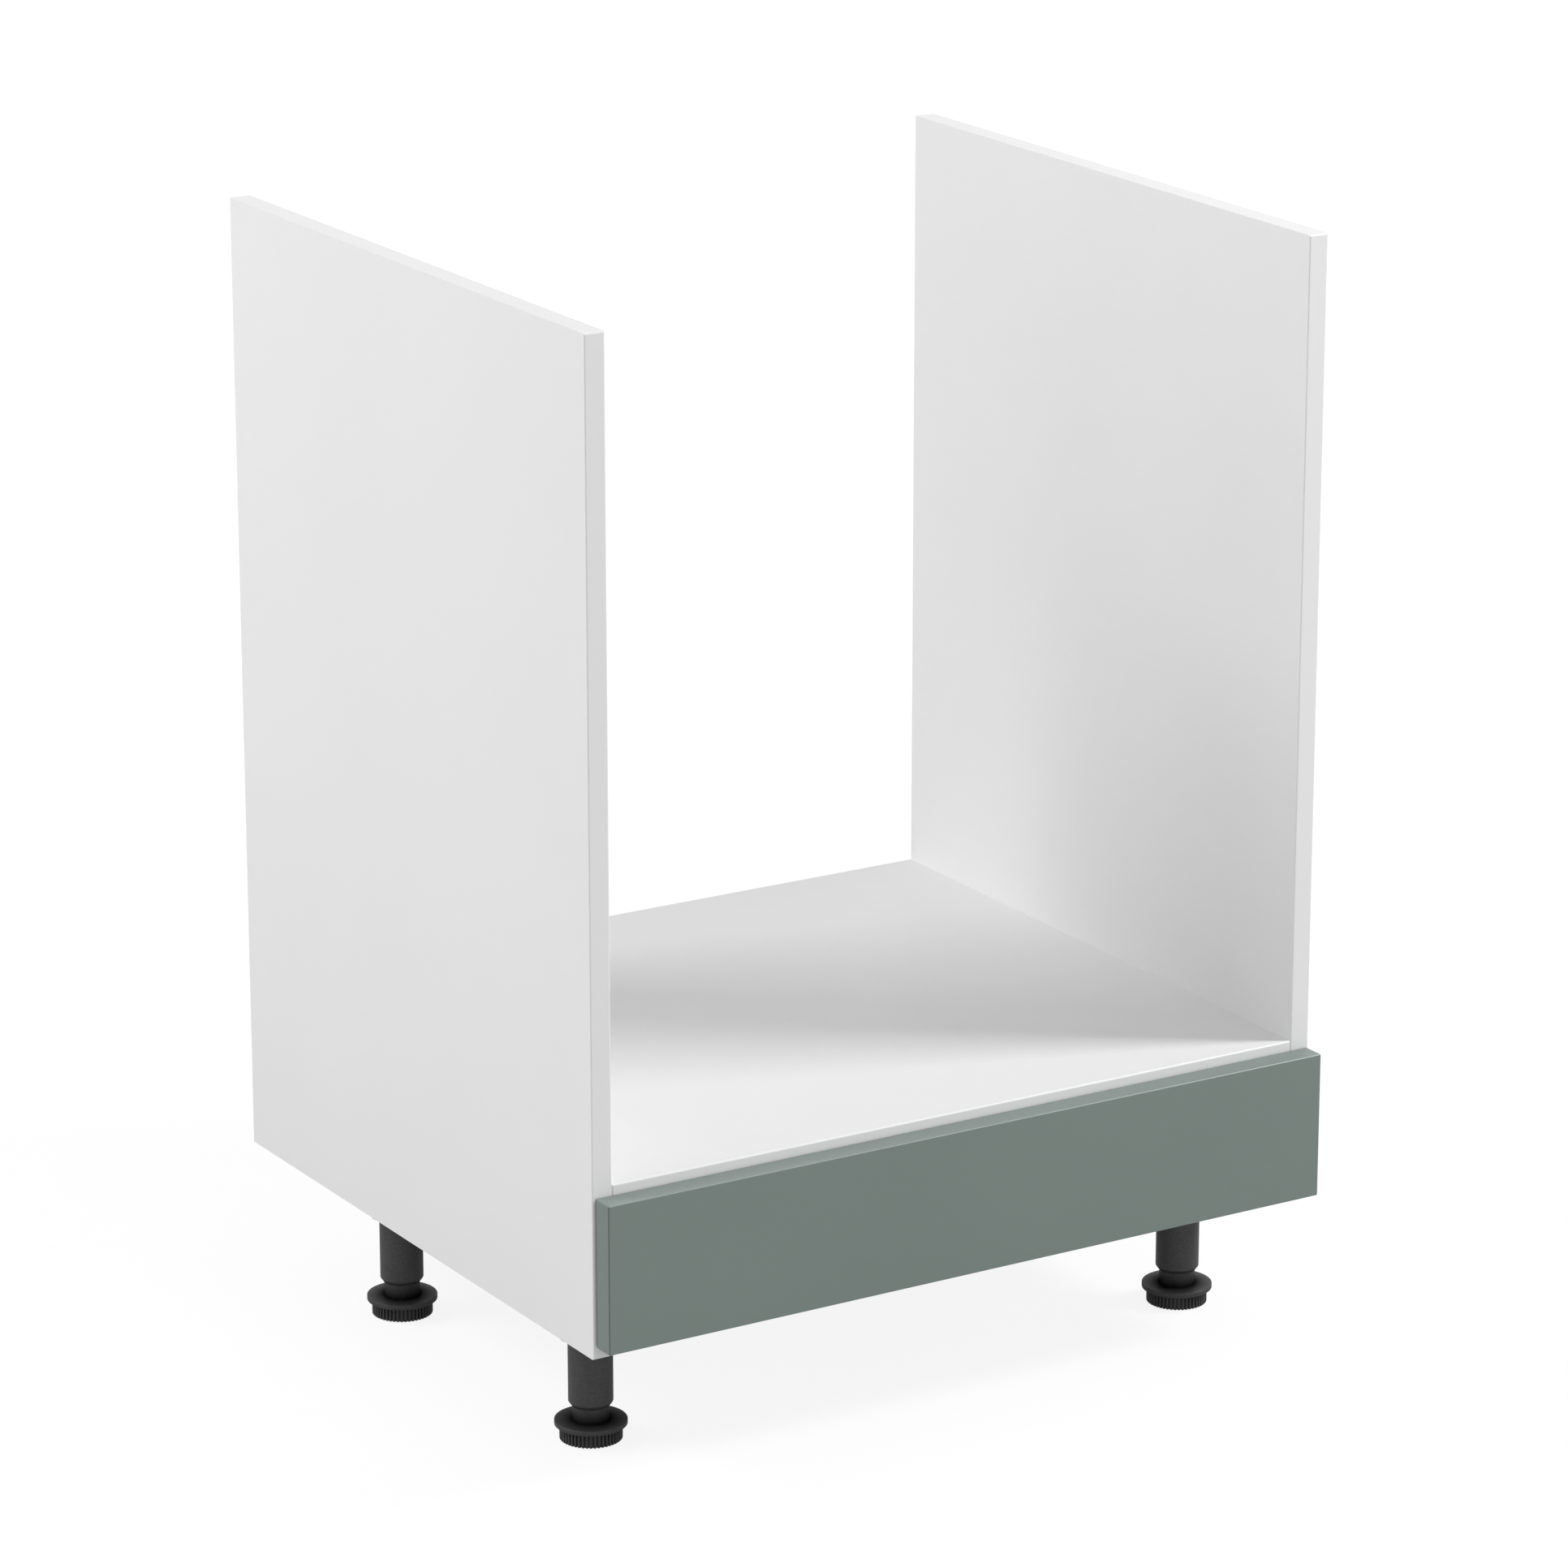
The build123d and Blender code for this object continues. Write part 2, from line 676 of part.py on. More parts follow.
with BuildPart() as cabinet_runner_right:
    mirror(cabinet_runner_left.part, about=Plane.YZ)
save(cabinet_runner_right, "cabinet_runner_right")

# Drawer profile: a flange under the drawer side, a web beside it, and a rail over the rollers
rail_mid_up = rail_low - runner_base + half_sheet
web_middle = runner_space - half_sheet
drawer_web = Plane.YZ.offset(runner_space - inner_half)
with BuildPart() as drawer_runner_left:
    sheet_profile(
        drawer_profile_front,
        (
            (runner_space + flange_under_drawer, flange_low + half_sheet),
            (web_middle, flange_low + half_sheet),
            (web_middle, rail_mid_up),
            (sheet + rail_clear, rail_mid_up),
        ),
    )
    drill(drawer_web, drawer_screw_points, runner_screw + 2 * fit, -sheet)
    cut_spare_slots(drawer_web, drawer_screw_points, -sheet)
    drill(drawer_web, [(rear_roller_y, rear_roller_z)], axle_diameter, -sheet)
save(drawer_runner_left, "drawer_runner_left")

with BuildPart() as drawer_runner_right:
    mirror(drawer_runner_left.part, about=Plane.YZ)
save(drawer_runner_right, "drawer_runner_right")


def roller(middle, centre, diameter):
    """Nylon roller on the left, with its middle this far in from the cabinet side.

    Both faces are dished between the hub and the rim."""
    near_face = Plane.YZ.offset(middle - roller_width / 2 - inner_half)
    with BuildPart() as wheel:
        with BuildSketch(near_face):
            with Locations(centre):
                Circle(diameter / 2)
        extrude(amount=roller_width)
        chamfer(edges(), length=roller_chamfer)
        with BuildSketch(near_face, near_face.offset(roller_width - roller_dish)):
            with Locations(centre):
                Circle(diameter / 2 - roller_rim)
                Circle(roller_hub / 2, mode=Mode.SUBTRACT)
        extrude(amount=roller_dish, mode=Mode.SUBTRACT)
        with BuildSketch(near_face):
            with Locations(centre):
                Circle(axle_diameter / 2 + axle_play)
        extrude(amount=roller_width, mode=Mode.SUBTRACT)
    return wheel.part


front_centre = (front_roller_y, front_roller_z)
rear_centre = (rear_roller_y, rear_roller_z)
with BuildPart() as front_roller_left:
    add(roller(front_roller_mid, front_centre, front_roller_diameter))
save(front_roller_left, "front_roller_left")

with BuildPart() as front_roller_right:
    mirror(front_roller_left.part, about=Plane.YZ)
save(front_roller_right, "front_roller_right")

with BuildPart() as rear_roller_left:
    add(roller(rear_roller_mid, rear_centre, rear_roller_diameter))
save(rear_roller_left, "rear_roller_left")

with BuildPart() as rear_roller_right:
    mirror(rear_roller_left.part, about=Plane.YZ)
save(rear_roller_right, "rear_roller_right")

# Axle rivets: the front pair stands in the cabinet profiles, the rear pair in the drawer profiles
front_roller_in = front_roller_mid - roller_width / 2 - roller_side_play
front_roller_out = front_roller_mid + roller_width / 2 + roller_side_play
with BuildPart() as front_roller_axles:
    turned(
        left_face,
        [front_centre],
        (
            (axle_diameter, 0, front_roller_out),
            (axle_shoulder, sheet, front_roller_in),
            (axle_head, front_roller_out, front_roller_out + axle_head_thickness),
        ),
    )
    mirror(about=Plane.YZ)
save(front_roller_axles, "front_roller_axles")

rear_roller_in = runner_space - rear_roller_mid - roller_width / 2 - roller_side_play
rear_roller_out = runner_space - rear_roller_mid + roller_width / 2 + roller_side_play
drawer_web_out = Plane((runner_space - inner_half, 0, 0), x_dir=(0, -1, 0), z_dir=(-1, 0, 0))
with BuildPart() as rear_roller_axles:
    turned(
        drawer_web_out,
        [(-rear_roller_y, rear_roller_z)],
        (
            (axle_diameter, 0, rear_roller_out),
            (axle_shoulder, sheet, rear_roller_in),
            (axle_head, rear_roller_out, rear_roller_out + axle_head_thickness),
        ),
    )
    mirror(about=Plane.YZ)
save(rear_roller_axles, "rear_roller_axles")

screw_tip = -(runner_screw_length - sheet)
runner_screw_steps = (
    (runner_screw, screw_tip, sheet),
    (runner_screw_head, sheet, sheet + runner_screw_head_thickness),
)
with BuildPart() as cabinet_runner_screws:
    turned(left_face, runner_screw_points, runner_screw_steps)
    mirror(about=Plane.YZ)
save(cabinet_runner_screws, "cabinet_runner_screws")

with BuildPart() as drawer_runner_screws:
    turned(drawer_web_out, [(-y, z) for y, z in drawer_screw_points], runner_screw_steps)
    mirror(about=Plane.YZ)
save(drawer_runner_screws, "drawer_runner_screws")


def upright(x, y, turn=0):
    """Upright plane through a leg's axis: first axis out at this angle, second axis up."""
    angle = radians(turn)
    return Plane((x, y, 0), x_dir=(cos(angle), sin(angle), 0), z_dir=(sin(angle), -cos(angle), 0))


def leg_axis(x, y):
    """A leg's upright axis."""
    return Axis((x, y, 0), (0, 0, 1))


def leg_socket(x, y):
    """Plate under the bottom panel with a ribbed cup that grips the tube, and four gussets."""
    level = Plane((x, y, 0))
    cup_radius = cup_diameter / 2
    with BuildPart() as socket:
        with BuildSketch(level.offset(plate_low)):
            RectangleRounded(plate_side, plate_side, plate_corner)
        extrude(amount=plate_thickness)
        with BuildSketch(level.offset(cup_low)):
            Circle(cup_radius)
            Circle(cup_radius - cup_wall, mode=Mode.SUBTRACT)
        extrude(amount=plate_low - cup_low)
        rib_inner = tube_radius + fit
        rib_length = cup_radius - cup_wall / 2 - rib_inner
        with BuildSketch(level.offset(cup_low)):
            with PolarLocations(rib_inner + rib_length / 2, cup_rib_count):
                Rectangle(rib_length, cup_rib)
            Circle(rib_inner, mode=Mode.SUBTRACT)
        extrude(amount=plate_low - cup_low)
        gusset_out = plate_side / 2 - gusset_in
        gusset_root = cup_radius - cup_wall / 2
        for turn in (0, 90, 180, 270):
            with BuildSketch(upright(x, y, turn)):
                Polygon(
                    (gusset_root, plate_low),
                    (gusset_out, plate_low),
                    (gusset_root, plate_low - gusset_height),
                    align=None,
                )
            extrude(amount=gusset_thickness / 2, both=True)
        around = [(a * screw_offset, b * screw_offset) for a in (-1, 1) for b in (-1, 1)]
        with BuildSketch(level.offset(plate_low)):
            with Locations(*around):
                Circle(plate_screw / 2 + fit)
        extrude(amount=plate_thickness, mode=Mode.SUBTRACT)
        with BuildSketch(level.offset(plate_low)):
            with Locations(*around):
                Circle(plate_screw_head / 2 + fit)
        sink = (plate_screw_head - plate_screw) / 2
        extrude(amount=sink, taper=45, mode=Mode.SUBTRACT)
    return socket.part


def leg_tube(x, y):
    """Tube with an inner nut collar and a chamfered lower end."""
    nut_bore = stem_radius + stem_play
    with BuildPart() as tube:
        with BuildSketch(upright(x, y)):
            Polygon(
                (tube_bore, tube_end),
                (tube_bore + tube_land, tube_end),
                (tube_radius, tube_end + tube_chamfer_height),
                (tube_radius, plate_low),
                (tube_bore, plate_low),
                (tube_bore, nut_top),
                (nut_bore, nut_top),
                (nut_bore, nut_low),
                (tube_bore, nut_low),
                align=None,
            )
        revolve(axis=leg_axis(x, y))
    return tube.part


def leg_foot(x, y):
    """Screw-in foot: ribbed grip ring, disc, smooth neck and hollow stem."""
    level = Plane((x, y, 0))
    pocket = pad_diameter / 2 + pad_play
    pocket_top = pad_thickness + pad_lift
    bore = stem_radius - stem_wall
    neck = tube_bore - neck_play
    disc = disc_diameter / 2
    with BuildPart() as foot:
        with BuildSketch(upright(x, y)) as section:
            Polygon(
                (pocket, wheel_low),
                (wheel_root, wheel_low),
                (wheel_root, wheel_top),
                (disc, wheel_top),
                (disc, disc_top),
                (neck, disc_top),
                (neck, neck_top),
                (stem_radius, neck_top),
                (stem_radius, stem_top),
                (0, stem_top),
                (0, stem_top - stem_cap),
                (bore, stem_top - stem_cap),
                (bore, pocket_top),
                (pocket, pocket_top),
                align=None,
            )
            rim = section.vertices().group_by(Axis.X)[-1]
            fillet(rim, radius=disc_round)
        revolve(axis=leg_axis(x, y))
        with BuildSketch(level.offset(wheel_low)):
            with PolarLocations(wheel_root, wheel_rib_count):
                Rectangle(2 * wheel_rib_depth, wheel_rib)
            Circle(wheel_root - wheel_rib_depth / 2, mode=Mode.SUBTRACT)
        extrude(amount=wheel_top - wheel_low)
    return foot.part


def leg_pad(x, y):
    """Glide pad that stays still on the floor, with a plug that the foot turns on."""
    level = Plane((x, y, 0))
    with BuildPart() as pad:
        with BuildSketch(level):
            Circle(pad_diameter / 2)
        extrude(amount=pad_thickness)
        with BuildSketch(level.offset(pad_thickness)):
            Circle(stem_radius - stem_wall - pad_play)
        extrude(amount=pad_plug_height)
    return pad.part


for corner, (x, y) in leg_places.items():
    with BuildPart() as socket:
        add(leg_socket(x, y))
    save(socket, f"leg_socket_{corner}")
    with BuildPart() as tube:
        add(leg_tube(x, y))
    save(tube, f"leg_tube_{corner}")
    with BuildPart() as foot:
        add(leg_foot(x, y))
    save(foot, f"foot_{corner}")
    with BuildPart() as pad:
        add(leg_pad(x, y))
    save(pad, f"glide_pad_{corner}")

with BuildPart() as leg_socket_screws:
    countersunk_head(Plane.XY.offset(plate_low), plate_screw_points, plate_screw_head, plate_screw)
    sink = (plate_screw_head - plate_screw) / 2
    shank_step = (plate_screw, sink, plate_screw_length)
    turned(Plane.XY.offset(plate_low), plate_screw_points, [shank_step])
save(leg_socket_screws, "leg_socket_screws")
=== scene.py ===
"""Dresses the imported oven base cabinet: finishes, fine pieces, studio and camera.

Lengths are metres in the part's own frame: +X to the right, +Y to the back, +Z up, and the
floor at zero. Boards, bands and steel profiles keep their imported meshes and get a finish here.
Legs, rollers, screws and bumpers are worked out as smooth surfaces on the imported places.
"""

import json
import logging
import math
from dataclasses import dataclass, field, replace
from enum import Enum
from functools import cache
from typing import Any, Callable, Mapping, Sequence

import bmesh
import bpy
import numpy as np
from mathutils import Euler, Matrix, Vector


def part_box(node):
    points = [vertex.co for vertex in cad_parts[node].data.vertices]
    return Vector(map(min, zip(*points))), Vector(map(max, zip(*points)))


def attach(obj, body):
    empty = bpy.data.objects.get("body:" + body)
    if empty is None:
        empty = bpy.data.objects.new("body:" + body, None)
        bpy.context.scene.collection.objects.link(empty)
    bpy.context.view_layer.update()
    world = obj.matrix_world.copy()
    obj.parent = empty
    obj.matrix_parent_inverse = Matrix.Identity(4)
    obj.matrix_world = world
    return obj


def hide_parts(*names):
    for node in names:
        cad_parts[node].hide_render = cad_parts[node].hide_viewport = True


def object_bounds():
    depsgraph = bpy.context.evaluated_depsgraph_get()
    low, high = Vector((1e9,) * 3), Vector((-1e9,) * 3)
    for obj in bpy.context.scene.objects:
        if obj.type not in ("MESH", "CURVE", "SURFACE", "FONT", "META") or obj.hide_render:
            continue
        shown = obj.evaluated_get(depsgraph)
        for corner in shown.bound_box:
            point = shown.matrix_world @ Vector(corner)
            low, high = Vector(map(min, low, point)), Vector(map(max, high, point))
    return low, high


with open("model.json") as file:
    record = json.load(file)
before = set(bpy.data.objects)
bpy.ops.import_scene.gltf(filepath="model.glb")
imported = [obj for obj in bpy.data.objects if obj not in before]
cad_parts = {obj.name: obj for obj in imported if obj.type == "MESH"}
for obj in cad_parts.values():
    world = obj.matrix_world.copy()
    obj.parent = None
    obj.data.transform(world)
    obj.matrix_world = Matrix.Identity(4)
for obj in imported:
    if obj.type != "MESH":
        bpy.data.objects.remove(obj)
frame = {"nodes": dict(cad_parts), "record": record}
CAD_LOW, CAD_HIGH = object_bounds()

LOG = logging.getLogger("oven_base_cabinet")
MERGE_DISTANCE = 1e-6
EDGE_SLACK = 1e-5
SHARP_DEGREES = 32.0
ARC_POINTS = 5
# Attribute with each vertex's share of painted shade.
PAINTED_SHADE_ATTRIBUTE = "shelter"
# Colour of the painted shade that is mixed over the foot.
PAINTED_SHADE_BLACK = (0.006, 0.006, 0.006)
WHITE = (1.0, 1.0, 1.0)
NOISE_ROUGHNESS = 0.55
CLOUD_RISE = (0.3, 0.7)
TURN = 2.0 * math.pi
QUARTERS = [(end, side) for end in ("front", "rear") for side in ("left", "right")]

Array = np.ndarray
Socket = bpy.types.NodeSocket
Material = bpy.types.Material
Mesh = bpy.types.Mesh
Thing = bpy.types.Object
Layers = dict[str, Any]
Pair = tuple[float, float]
Colour = tuple[float, float, float]
Vec = tuple[float, float, float]
Ripple = Callable[[Array, Array, Array], Array]

UP: Vec = (0.0, 0.0, 1.0)
OUTWARDS: Vec = (1.0, 0.0, 0.0)
INWARDS: Vec = (-1.0, 0.0, 0.0)


class Slot(Enum):
    """Material slots of the record, which are also the names of the finishes."""

    WHITE_BOARD = "white_board"
    WHITE_HARDBOARD = "white_hardboard"
    WHITE_EDGING = "white_edging"
    LACQUER = "grey_green_lacquer"
    PLATED_STEEL = "zinc_plated_steel"
    CAST_ZINC = "die_cast_zinc"
    BEECH = "beech"
    COATED_STEEL = "coated_steel"
    NYLON = "nylon"
    BUMPER = "clear_bumper"
    BLACK_PLASTIC = "black_plastic"
    GLIDE = "grey_glide"


class Number:
    """A number that varies over a surface. Arithmetic on it adds Math nodes."""

    def __init__(self, shading: "Shading", socket: Socket) -> None:
        """Wrap one output socket of a node tree."""
        self.shading = shading
        self.socket = socket

    def _math(self, operation: str, first: Any, second: Any) -> "Number":
        """One Math node on two numbers."""
        node = self.shading.node("ShaderNodeMath", {"operation": operation}, {0: first, 1: second})
        return Number(self.shading, node.outputs[0])

    def __add__(self, other: Any) -> "Number":
        """Sum."""
        return self._math("ADD", self, other)

    def __mul__(self, other: Any) -> "Number":
        """Product."""
        return self._math("MULTIPLY", self, other)

    def __sub__(self, other: Any) -> "Number":
        """Difference."""
        return self._math("SUBTRACT", self, other)

    def __rsub__(self, other: Any) -> "Number":
        """Difference from a plain number, as in 1 - mask."""
        return self._math("SUBTRACT", other, self)

    def __lt__(self, other: Any) -> "Number":
        """1 where the number is less than the other, else 0."""
        return self._math("LESS_THAN", self, other)

    __radd__ = __add__
    __rmul__ = __mul__

    def rise(self, low: float, high: float) -> "Number":
        """Smooth step: 0 up to low, 1 from high."""
        settings = {"interpolation_type": "SMOOTHSTEP"}
        inputs = {"Value": self, "From Min": low, "From Max": high}
        node = self.shading.node("ShaderNodeMapRange", settings, inputs)
        return Number(self.shading, node.outputs[0])


class Shading:
    """The node tree of one material, with one method that makes every node."""

    def __init__(self, name: str) -> None:
        """Start an empty material with that name."""
        self.material = bpy.data.materials.new(name)
        self.material.use_nodes = True
        self._take(self.material.node_tree)

    @classmethod
    def on(cls, tree: bpy.types.NodeTree) -> "Shading":
        """Shading on the tree of something other than a material, such as the world."""
        shading = cls.__new__(cls)
        shading._take(tree)
        return shading

    def _take(self, tree: bpy.types.NodeTree) -> None:
        """Empty the tree and work on it from here."""
        self.tree = tree
        self.tree.nodes.clear()

    def node(
        self,
        kind: str,
        settings: Mapping[str, Any] | None = None,
        inputs: Mapping[str | int, Any] | None = None,
    ) -> bpy.types.Node:
        """Add a node.

        Args:
            kind: Blender's type name of the node.
            settings: properties to set first, such as an operation.
            inputs: a value, colour, socket or Number for each input socket.

        Returns:
            The new node.
        """
        node = self.tree.nodes.new(kind)
        for name, value in (settings or {}).items():
            setattr(node, name, value)
        for key, value in (inputs or {}).items():
            self._feed(node.inputs[key], value)
        return node

    def out(self, kind: str, inputs: Mapping[str | int, Any] | None = None) -> Socket:
        """First output of a new node that needs no settings."""
        return self.node(kind, {}, inputs).outputs[0]

    def either(self, share: Any, first: Socket, second: Socket) -> Socket:
        """Mix two shaders: share 0 gives the first, share 1 the second."""
        return self.out("ShaderNodeMixShader", {0: share, 1: first, 2: second})

    def _feed(self, socket: Socket, value: Any) -> None:
        """Link a socket or Number to an input, or set the input's own value."""
        if isinstance(value, Number):
            value = value.socket
        if isinstance(value, Socket):
            self.tree.links.new(value, socket)
        elif socket.type == "RGBA" and len(value) == 3:
            socket.default_value = (*value, 1.0)
        else:
            socket.default_value = value

    def place(self) -> Socket:
        """The piece's own coordinates, in metres."""
        return self.node("ShaderNodeTexCoord").outputs["Object"]

    def seen(self, mirrored: float = 1.0) -> Number:
        """1 for rays that show a thing straight or through glass, else 0.

        Args:
            mirrored: the share for rays that show it mirrored in gloss.
        """
        rays = self.node("ShaderNodeLightPath").outputs
        kinds = ("Camera", "Transmission", "Glossy")
        straight, through, glossy = (Number(self, rays[f"Is {kind} Ray"]) for kind in kinds)
        return straight + through + mirrored * glossy

    def stretched(self, place: Socket, scale: Vec) -> Socket:
        """Coordinates scaled along each axis, for grain and streaks."""
        return self.out("ShaderNodeMapping", {"Vector": place, "Scale": scale})

    def noise(self, place: Socket, size: float, detail: float = 2.0) -> Number:
        """Cloudy noise between 0 and 1, with spots of about the given size in metres."""
        inputs = {"Vector": place, "Scale": 1.0 / size, "Detail": detail}
        node = self.node("ShaderNodeTexNoise", {}, {**inputs, "Roughness": NOISE_ROUGHNESS})
        return Number(self, node.outputs["Fac"])

    def cells(self, place: Socket, size: float) -> Number:
        """A random shade for each cell of about the given size in metres."""
        node = self.node("ShaderNodeTexVoronoi", {}, {"Vector": place, "Scale": 1.0 / size})
        return Number(self, self.out("ShaderNodeSeparateColor", {0: node.outputs["Color"]}))

    def own(self, attribute: str) -> Number:
        """A number that a piece carries for each vertex, 0 on a piece without it."""
        node = self.node("ShaderNodeAttribute", {"attribute_name": attribute})
        return Number(self, node.outputs["Fac"])

    def part(self, vector: Socket, axis: int) -> Number:
        """One of the three parts of a vector."""
        return Number(self, self.node("ShaderNodeSeparateXYZ", {}, {0: vector}).outputs[axis])

    def facing(self, axis: int) -> Number:
        """The surface normal's part along one axis, from -1 to 1."""
        return self.part(self.node("ShaderNodeNewGeometry").outputs["True Normal"], axis)

    def mixed(self, share: Number, first: Any, second: Any) -> Socket:
        """Blend two colours: share 0 gives the first, share 1 the second."""
        settings = {"data_type": "RGBA", "clamp_factor": True}
        node = self.node("ShaderNodeMix", settings, {0: share, 6: first, 7: second})
        return node.outputs[2]

    def bump(self, height: Number, depth: float, strength: float) -> Socket:
        """Normal of a fine relief: height 1 stands this depth in metres over height 0."""
        inputs = {"Height": height, "Distance": depth, "Strength": strength}
        return self.node("ShaderNodeBump", {}, inputs).outputs["Normal"]

    def finish(self, inputs: Mapping[str, Any], painted_shade_share: Number | None = None) -> Material:
        """Close the tree.

        Args:
            inputs: values and links of the Principled shader by socket name.
            painted_shade_share: the share of painted shade, a dull black diffuse mixed over it, or
                none.

        Returns:
            The finished material.
        """
        surface = self.out("ShaderNodeBsdfPrincipled", inputs)
        if painted_shade_share is not None:
            # Painted shade: a dull black diffuse, mixed over the surface by its share.
            dull = self.out("ShaderNodeBsdfDiffuse", {"Color": PAINTED_SHADE_BLACK})
            surface = self.either(painted_shade_share, surface, dull)
        self.node("ShaderNodeOutputMaterial", {}, {"Surface": surface})
        return self.material


def shade(colour: Colour, factor: float) -> Colour:
    """A colour made lighter or darker by one factor, at most white."""
    red, green, blue = (min(1.0, part * factor) for part in colour)
    return (red, green, blue)


@dataclass(frozen=True)
class Finish:
    """What every finish has, and how its Principled shader is fed.

    The base colour strays by the unevenness and the roughness by the sheen. The relief is the
    depth in metres of the fine bumps, and cloud is the size in metres of the colour's drift.
    """

    colour: Colour
    roughness: float
    unevenness: float
    sheen: float = 0.1
    relief: float = 0.00005
    strength: float = 0.3
    cloud: float = 0.1

    def material(self, slot: Slot) -> Material:
        """Make the finish as a Blender material with the slot's name."""
        shading = Shading(slot.value)
        return shading.finish(self.layers(shading, shading.place()))

    def layers(self, shading: Shading, place: Socket) -> Layers:
        """Inputs of the Principled shader by socket name, at the piece's own coordinates."""
        raise NotImplementedError

    def clouded(self, shading: Shading, share: Number) -> Socket:
        """The base colour, a little darker where share is 0 and lighter where it is 1."""
        dark = shade(self.colour, 1.0 - self.unevenness)
        light = shade(self.colour, 1.0 + self.unevenness)
        return shading.mixed(share, dark, light)

    def surfaced(self, shading: Shading, base: Socket, dull: Number, height: Number) -> Layers:
        """Inputs that all finishes have: it is rougher where dull is 1, and bumpy with height."""
        return {
            "Base Color": base,
            "Roughness": self.roughness + self.sheen * dull,
            "Normal": shading.bump(height, self.relief, self.strength),
        }


@dataclass(frozen=True)
class Melamine(Finish):
    """White board face: a fine pressed pebble over a very even white."""

    strength: float = 0.35
    cloud: float = 0.16
    # Where the painted top shade starts, its colour factor, and how far below that it fades in.
    painted_top: float = 0.0
    painted_top_shade: float = 0.92
    painted_top_rise: Pair = (0.001, 0.0005)
    pebble: float = 0.0012

    def layers(self, shading: Shading, place: Socket) -> Layers:
        """Even white with a faint cloud, and a pebble that breaks the sheen.

        Up-facing faces at the cabinet's top, the sides' upper edges, get painted shade: a little
        greyer than the other faces.
        """
        pebble = shading.noise(place, self.pebble, detail=3.0)
        drift = shading.noise(place, self.cloud, detail=3.0)
        face = self.clouded(shading, drift.rise(*CLOUD_RISE))
        # Painted shade on the up-facing faces at the cabinet's top.
        start, full = (self.painted_top - under for under in self.painted_top_rise)
        painted_top = shading.facing(2) * shading.part(place, 2).rise(start, full)
        base = shading.mixed(painted_top, face, shade(self.colour, self.painted_top_shade))
        return self.surfaced(shading, base, pebble, pebble)


@dataclass(frozen=True)
class Hardboard(Finish):
    """Thin fibre board: lacquered white above, bare brown fibre below."""

    sheen: float = 0.35
    relief: float = 0.00012
    strength: float = 0.5
    fibre: Colour = (0.34, 0.22, 0.13)
    fibre_shades: Pair = (0.7, 1.25)
    fibre_size: float = 0.0016
    fibre_stretch: Vec = (1.0, 0.45, 1.0)
    bare_below: float = -0.5
    white_relief: float = 0.15

    def layers(self, shading: Shading, place: Socket) -> Layers:
        """White lacquer that turns to felted fibre on faces that look down."""
        stretched = shading.stretched(place, self.fibre_stretch)
        felt = shading.noise(stretched, self.fibre_size, detail=5.0)
        bare = shading.facing(2) < self.bare_below
        dark, light = (shade(self.fibre, factor) for factor in self.fibre_shades)
        brown = shading.mixed(felt, dark, light)
        white = self.clouded(shading, shading.noise(place, self.cloud))
        base = shading.mixed(bare, white, brown)
        return self.surfaced(shading, base, bare, felt * (self.white_relief + bare))


@dataclass(frozen=True)
class EdgePlastic(Finish):
    """Edge band: smooth white plastic with faint marks of the trimming cutter."""

    sheen: float = 0.08
    relief: float = 0.00002
    cloud: float = 0.07
    cutter_pitch: float = 0.0021
    cutter_stretch: Vec = (0.2, 0.2, 1.0)

    def layers(self, shading: Shading, place: Socket) -> Layers:
        """Even white with cross marks along the band."""
        stretched = shading.stretched(place, self.cutter_stretch)
        marks = shading.noise(stretched, self.cutter_pitch, detail=1.0)
        base = self.clouded(shading, shading.noise(place, self.cloud))
        return self.surfaced(shading, base, marks, marks)


@dataclass(frozen=True)
class Lacquer(Finish):
    """Sprayed satin lacquer with a soft orange peel, and a painted highlight and painted shade on
    its edges.
    """

    relief: float = 0.00006
    cloud: float = 0.22
    back: float = 0.0
    # Width and blur of a painted shadow line along the back plane of the sides.
    back_shadow_width: float = 0.0016
    back_shadow_fade: float = 0.2
    peel: float = 0.0032
    speck: float = 0.0006
    speck_share: float = 0.4
    speck_relief: float = 0.2
    # Painted highlight and painted shade: colour factors for level and upright edges, and the
    # painted shade's share on the sides.
    painted_edge_highlight: float = 1.5
    painted_edge_shade: float = 0.55
    edge_gain: float = 4.0
    painted_side_shade: float = 0.25
    coat: float = 0.25
    coat_roughness: float = 0.14

    def layers(self, shading: Shading, place: Socket) -> Layers:
        """Even colour with a slow drift, fine pigment specks and the peel's relief.

        On a rounded edge two parts of the normal differ from 0. The product of their squares,
        times the gain of 4, is 1 in the middle of the edge: a painted highlight on level edges and
        painted shade on upright ones. The sides get a little painted shade too, and a painted
        shadow line of the full shade along the back.
        """
        peel = shading.noise(place, self.peel, detail=1.5)
        specks = shading.noise(place, self.speck, detail=1.0)
        drift = shading.noise(place, self.cloud) * (1.0 - self.speck_share)
        share = (drift + specks * self.speck_share).rise(*CLOUD_RISE)
        across, front, up = (shading.facing(axis) * shading.facing(axis) for axis in range(3))
        face = self.clouded(shading, share)
        # Colours of the painted highlight and the painted shade.
        thin, thick = (shade(self.colour, edge) for edge in (self.painted_edge_highlight, self.painted_edge_shade))
        # Painted highlight on the level edges.
        level = shading.mixed(self.edge_gain * front * up, face, thin)
        # A painted shadow line along the back of the sides, then painted shade on upright edges and
        # sides.
        start = self.back - (1.0 + self.back_shadow_fade) * self.back_shadow_width
        last = shading.part(place, 1).rise(start, self.back - self.back_shadow_width)
        edge_shade_share = self.edge_gain * across * front + across * (self.painted_side_shade + last)
        base = shading.mixed(edge_shade_share, level, thick)
        return {
            **self.surfaced(shading, base, peel, peel + self.speck_relief * specks),
            "Coat Weight": self.coat,
            "Coat Roughness": self.coat_roughness,
        }


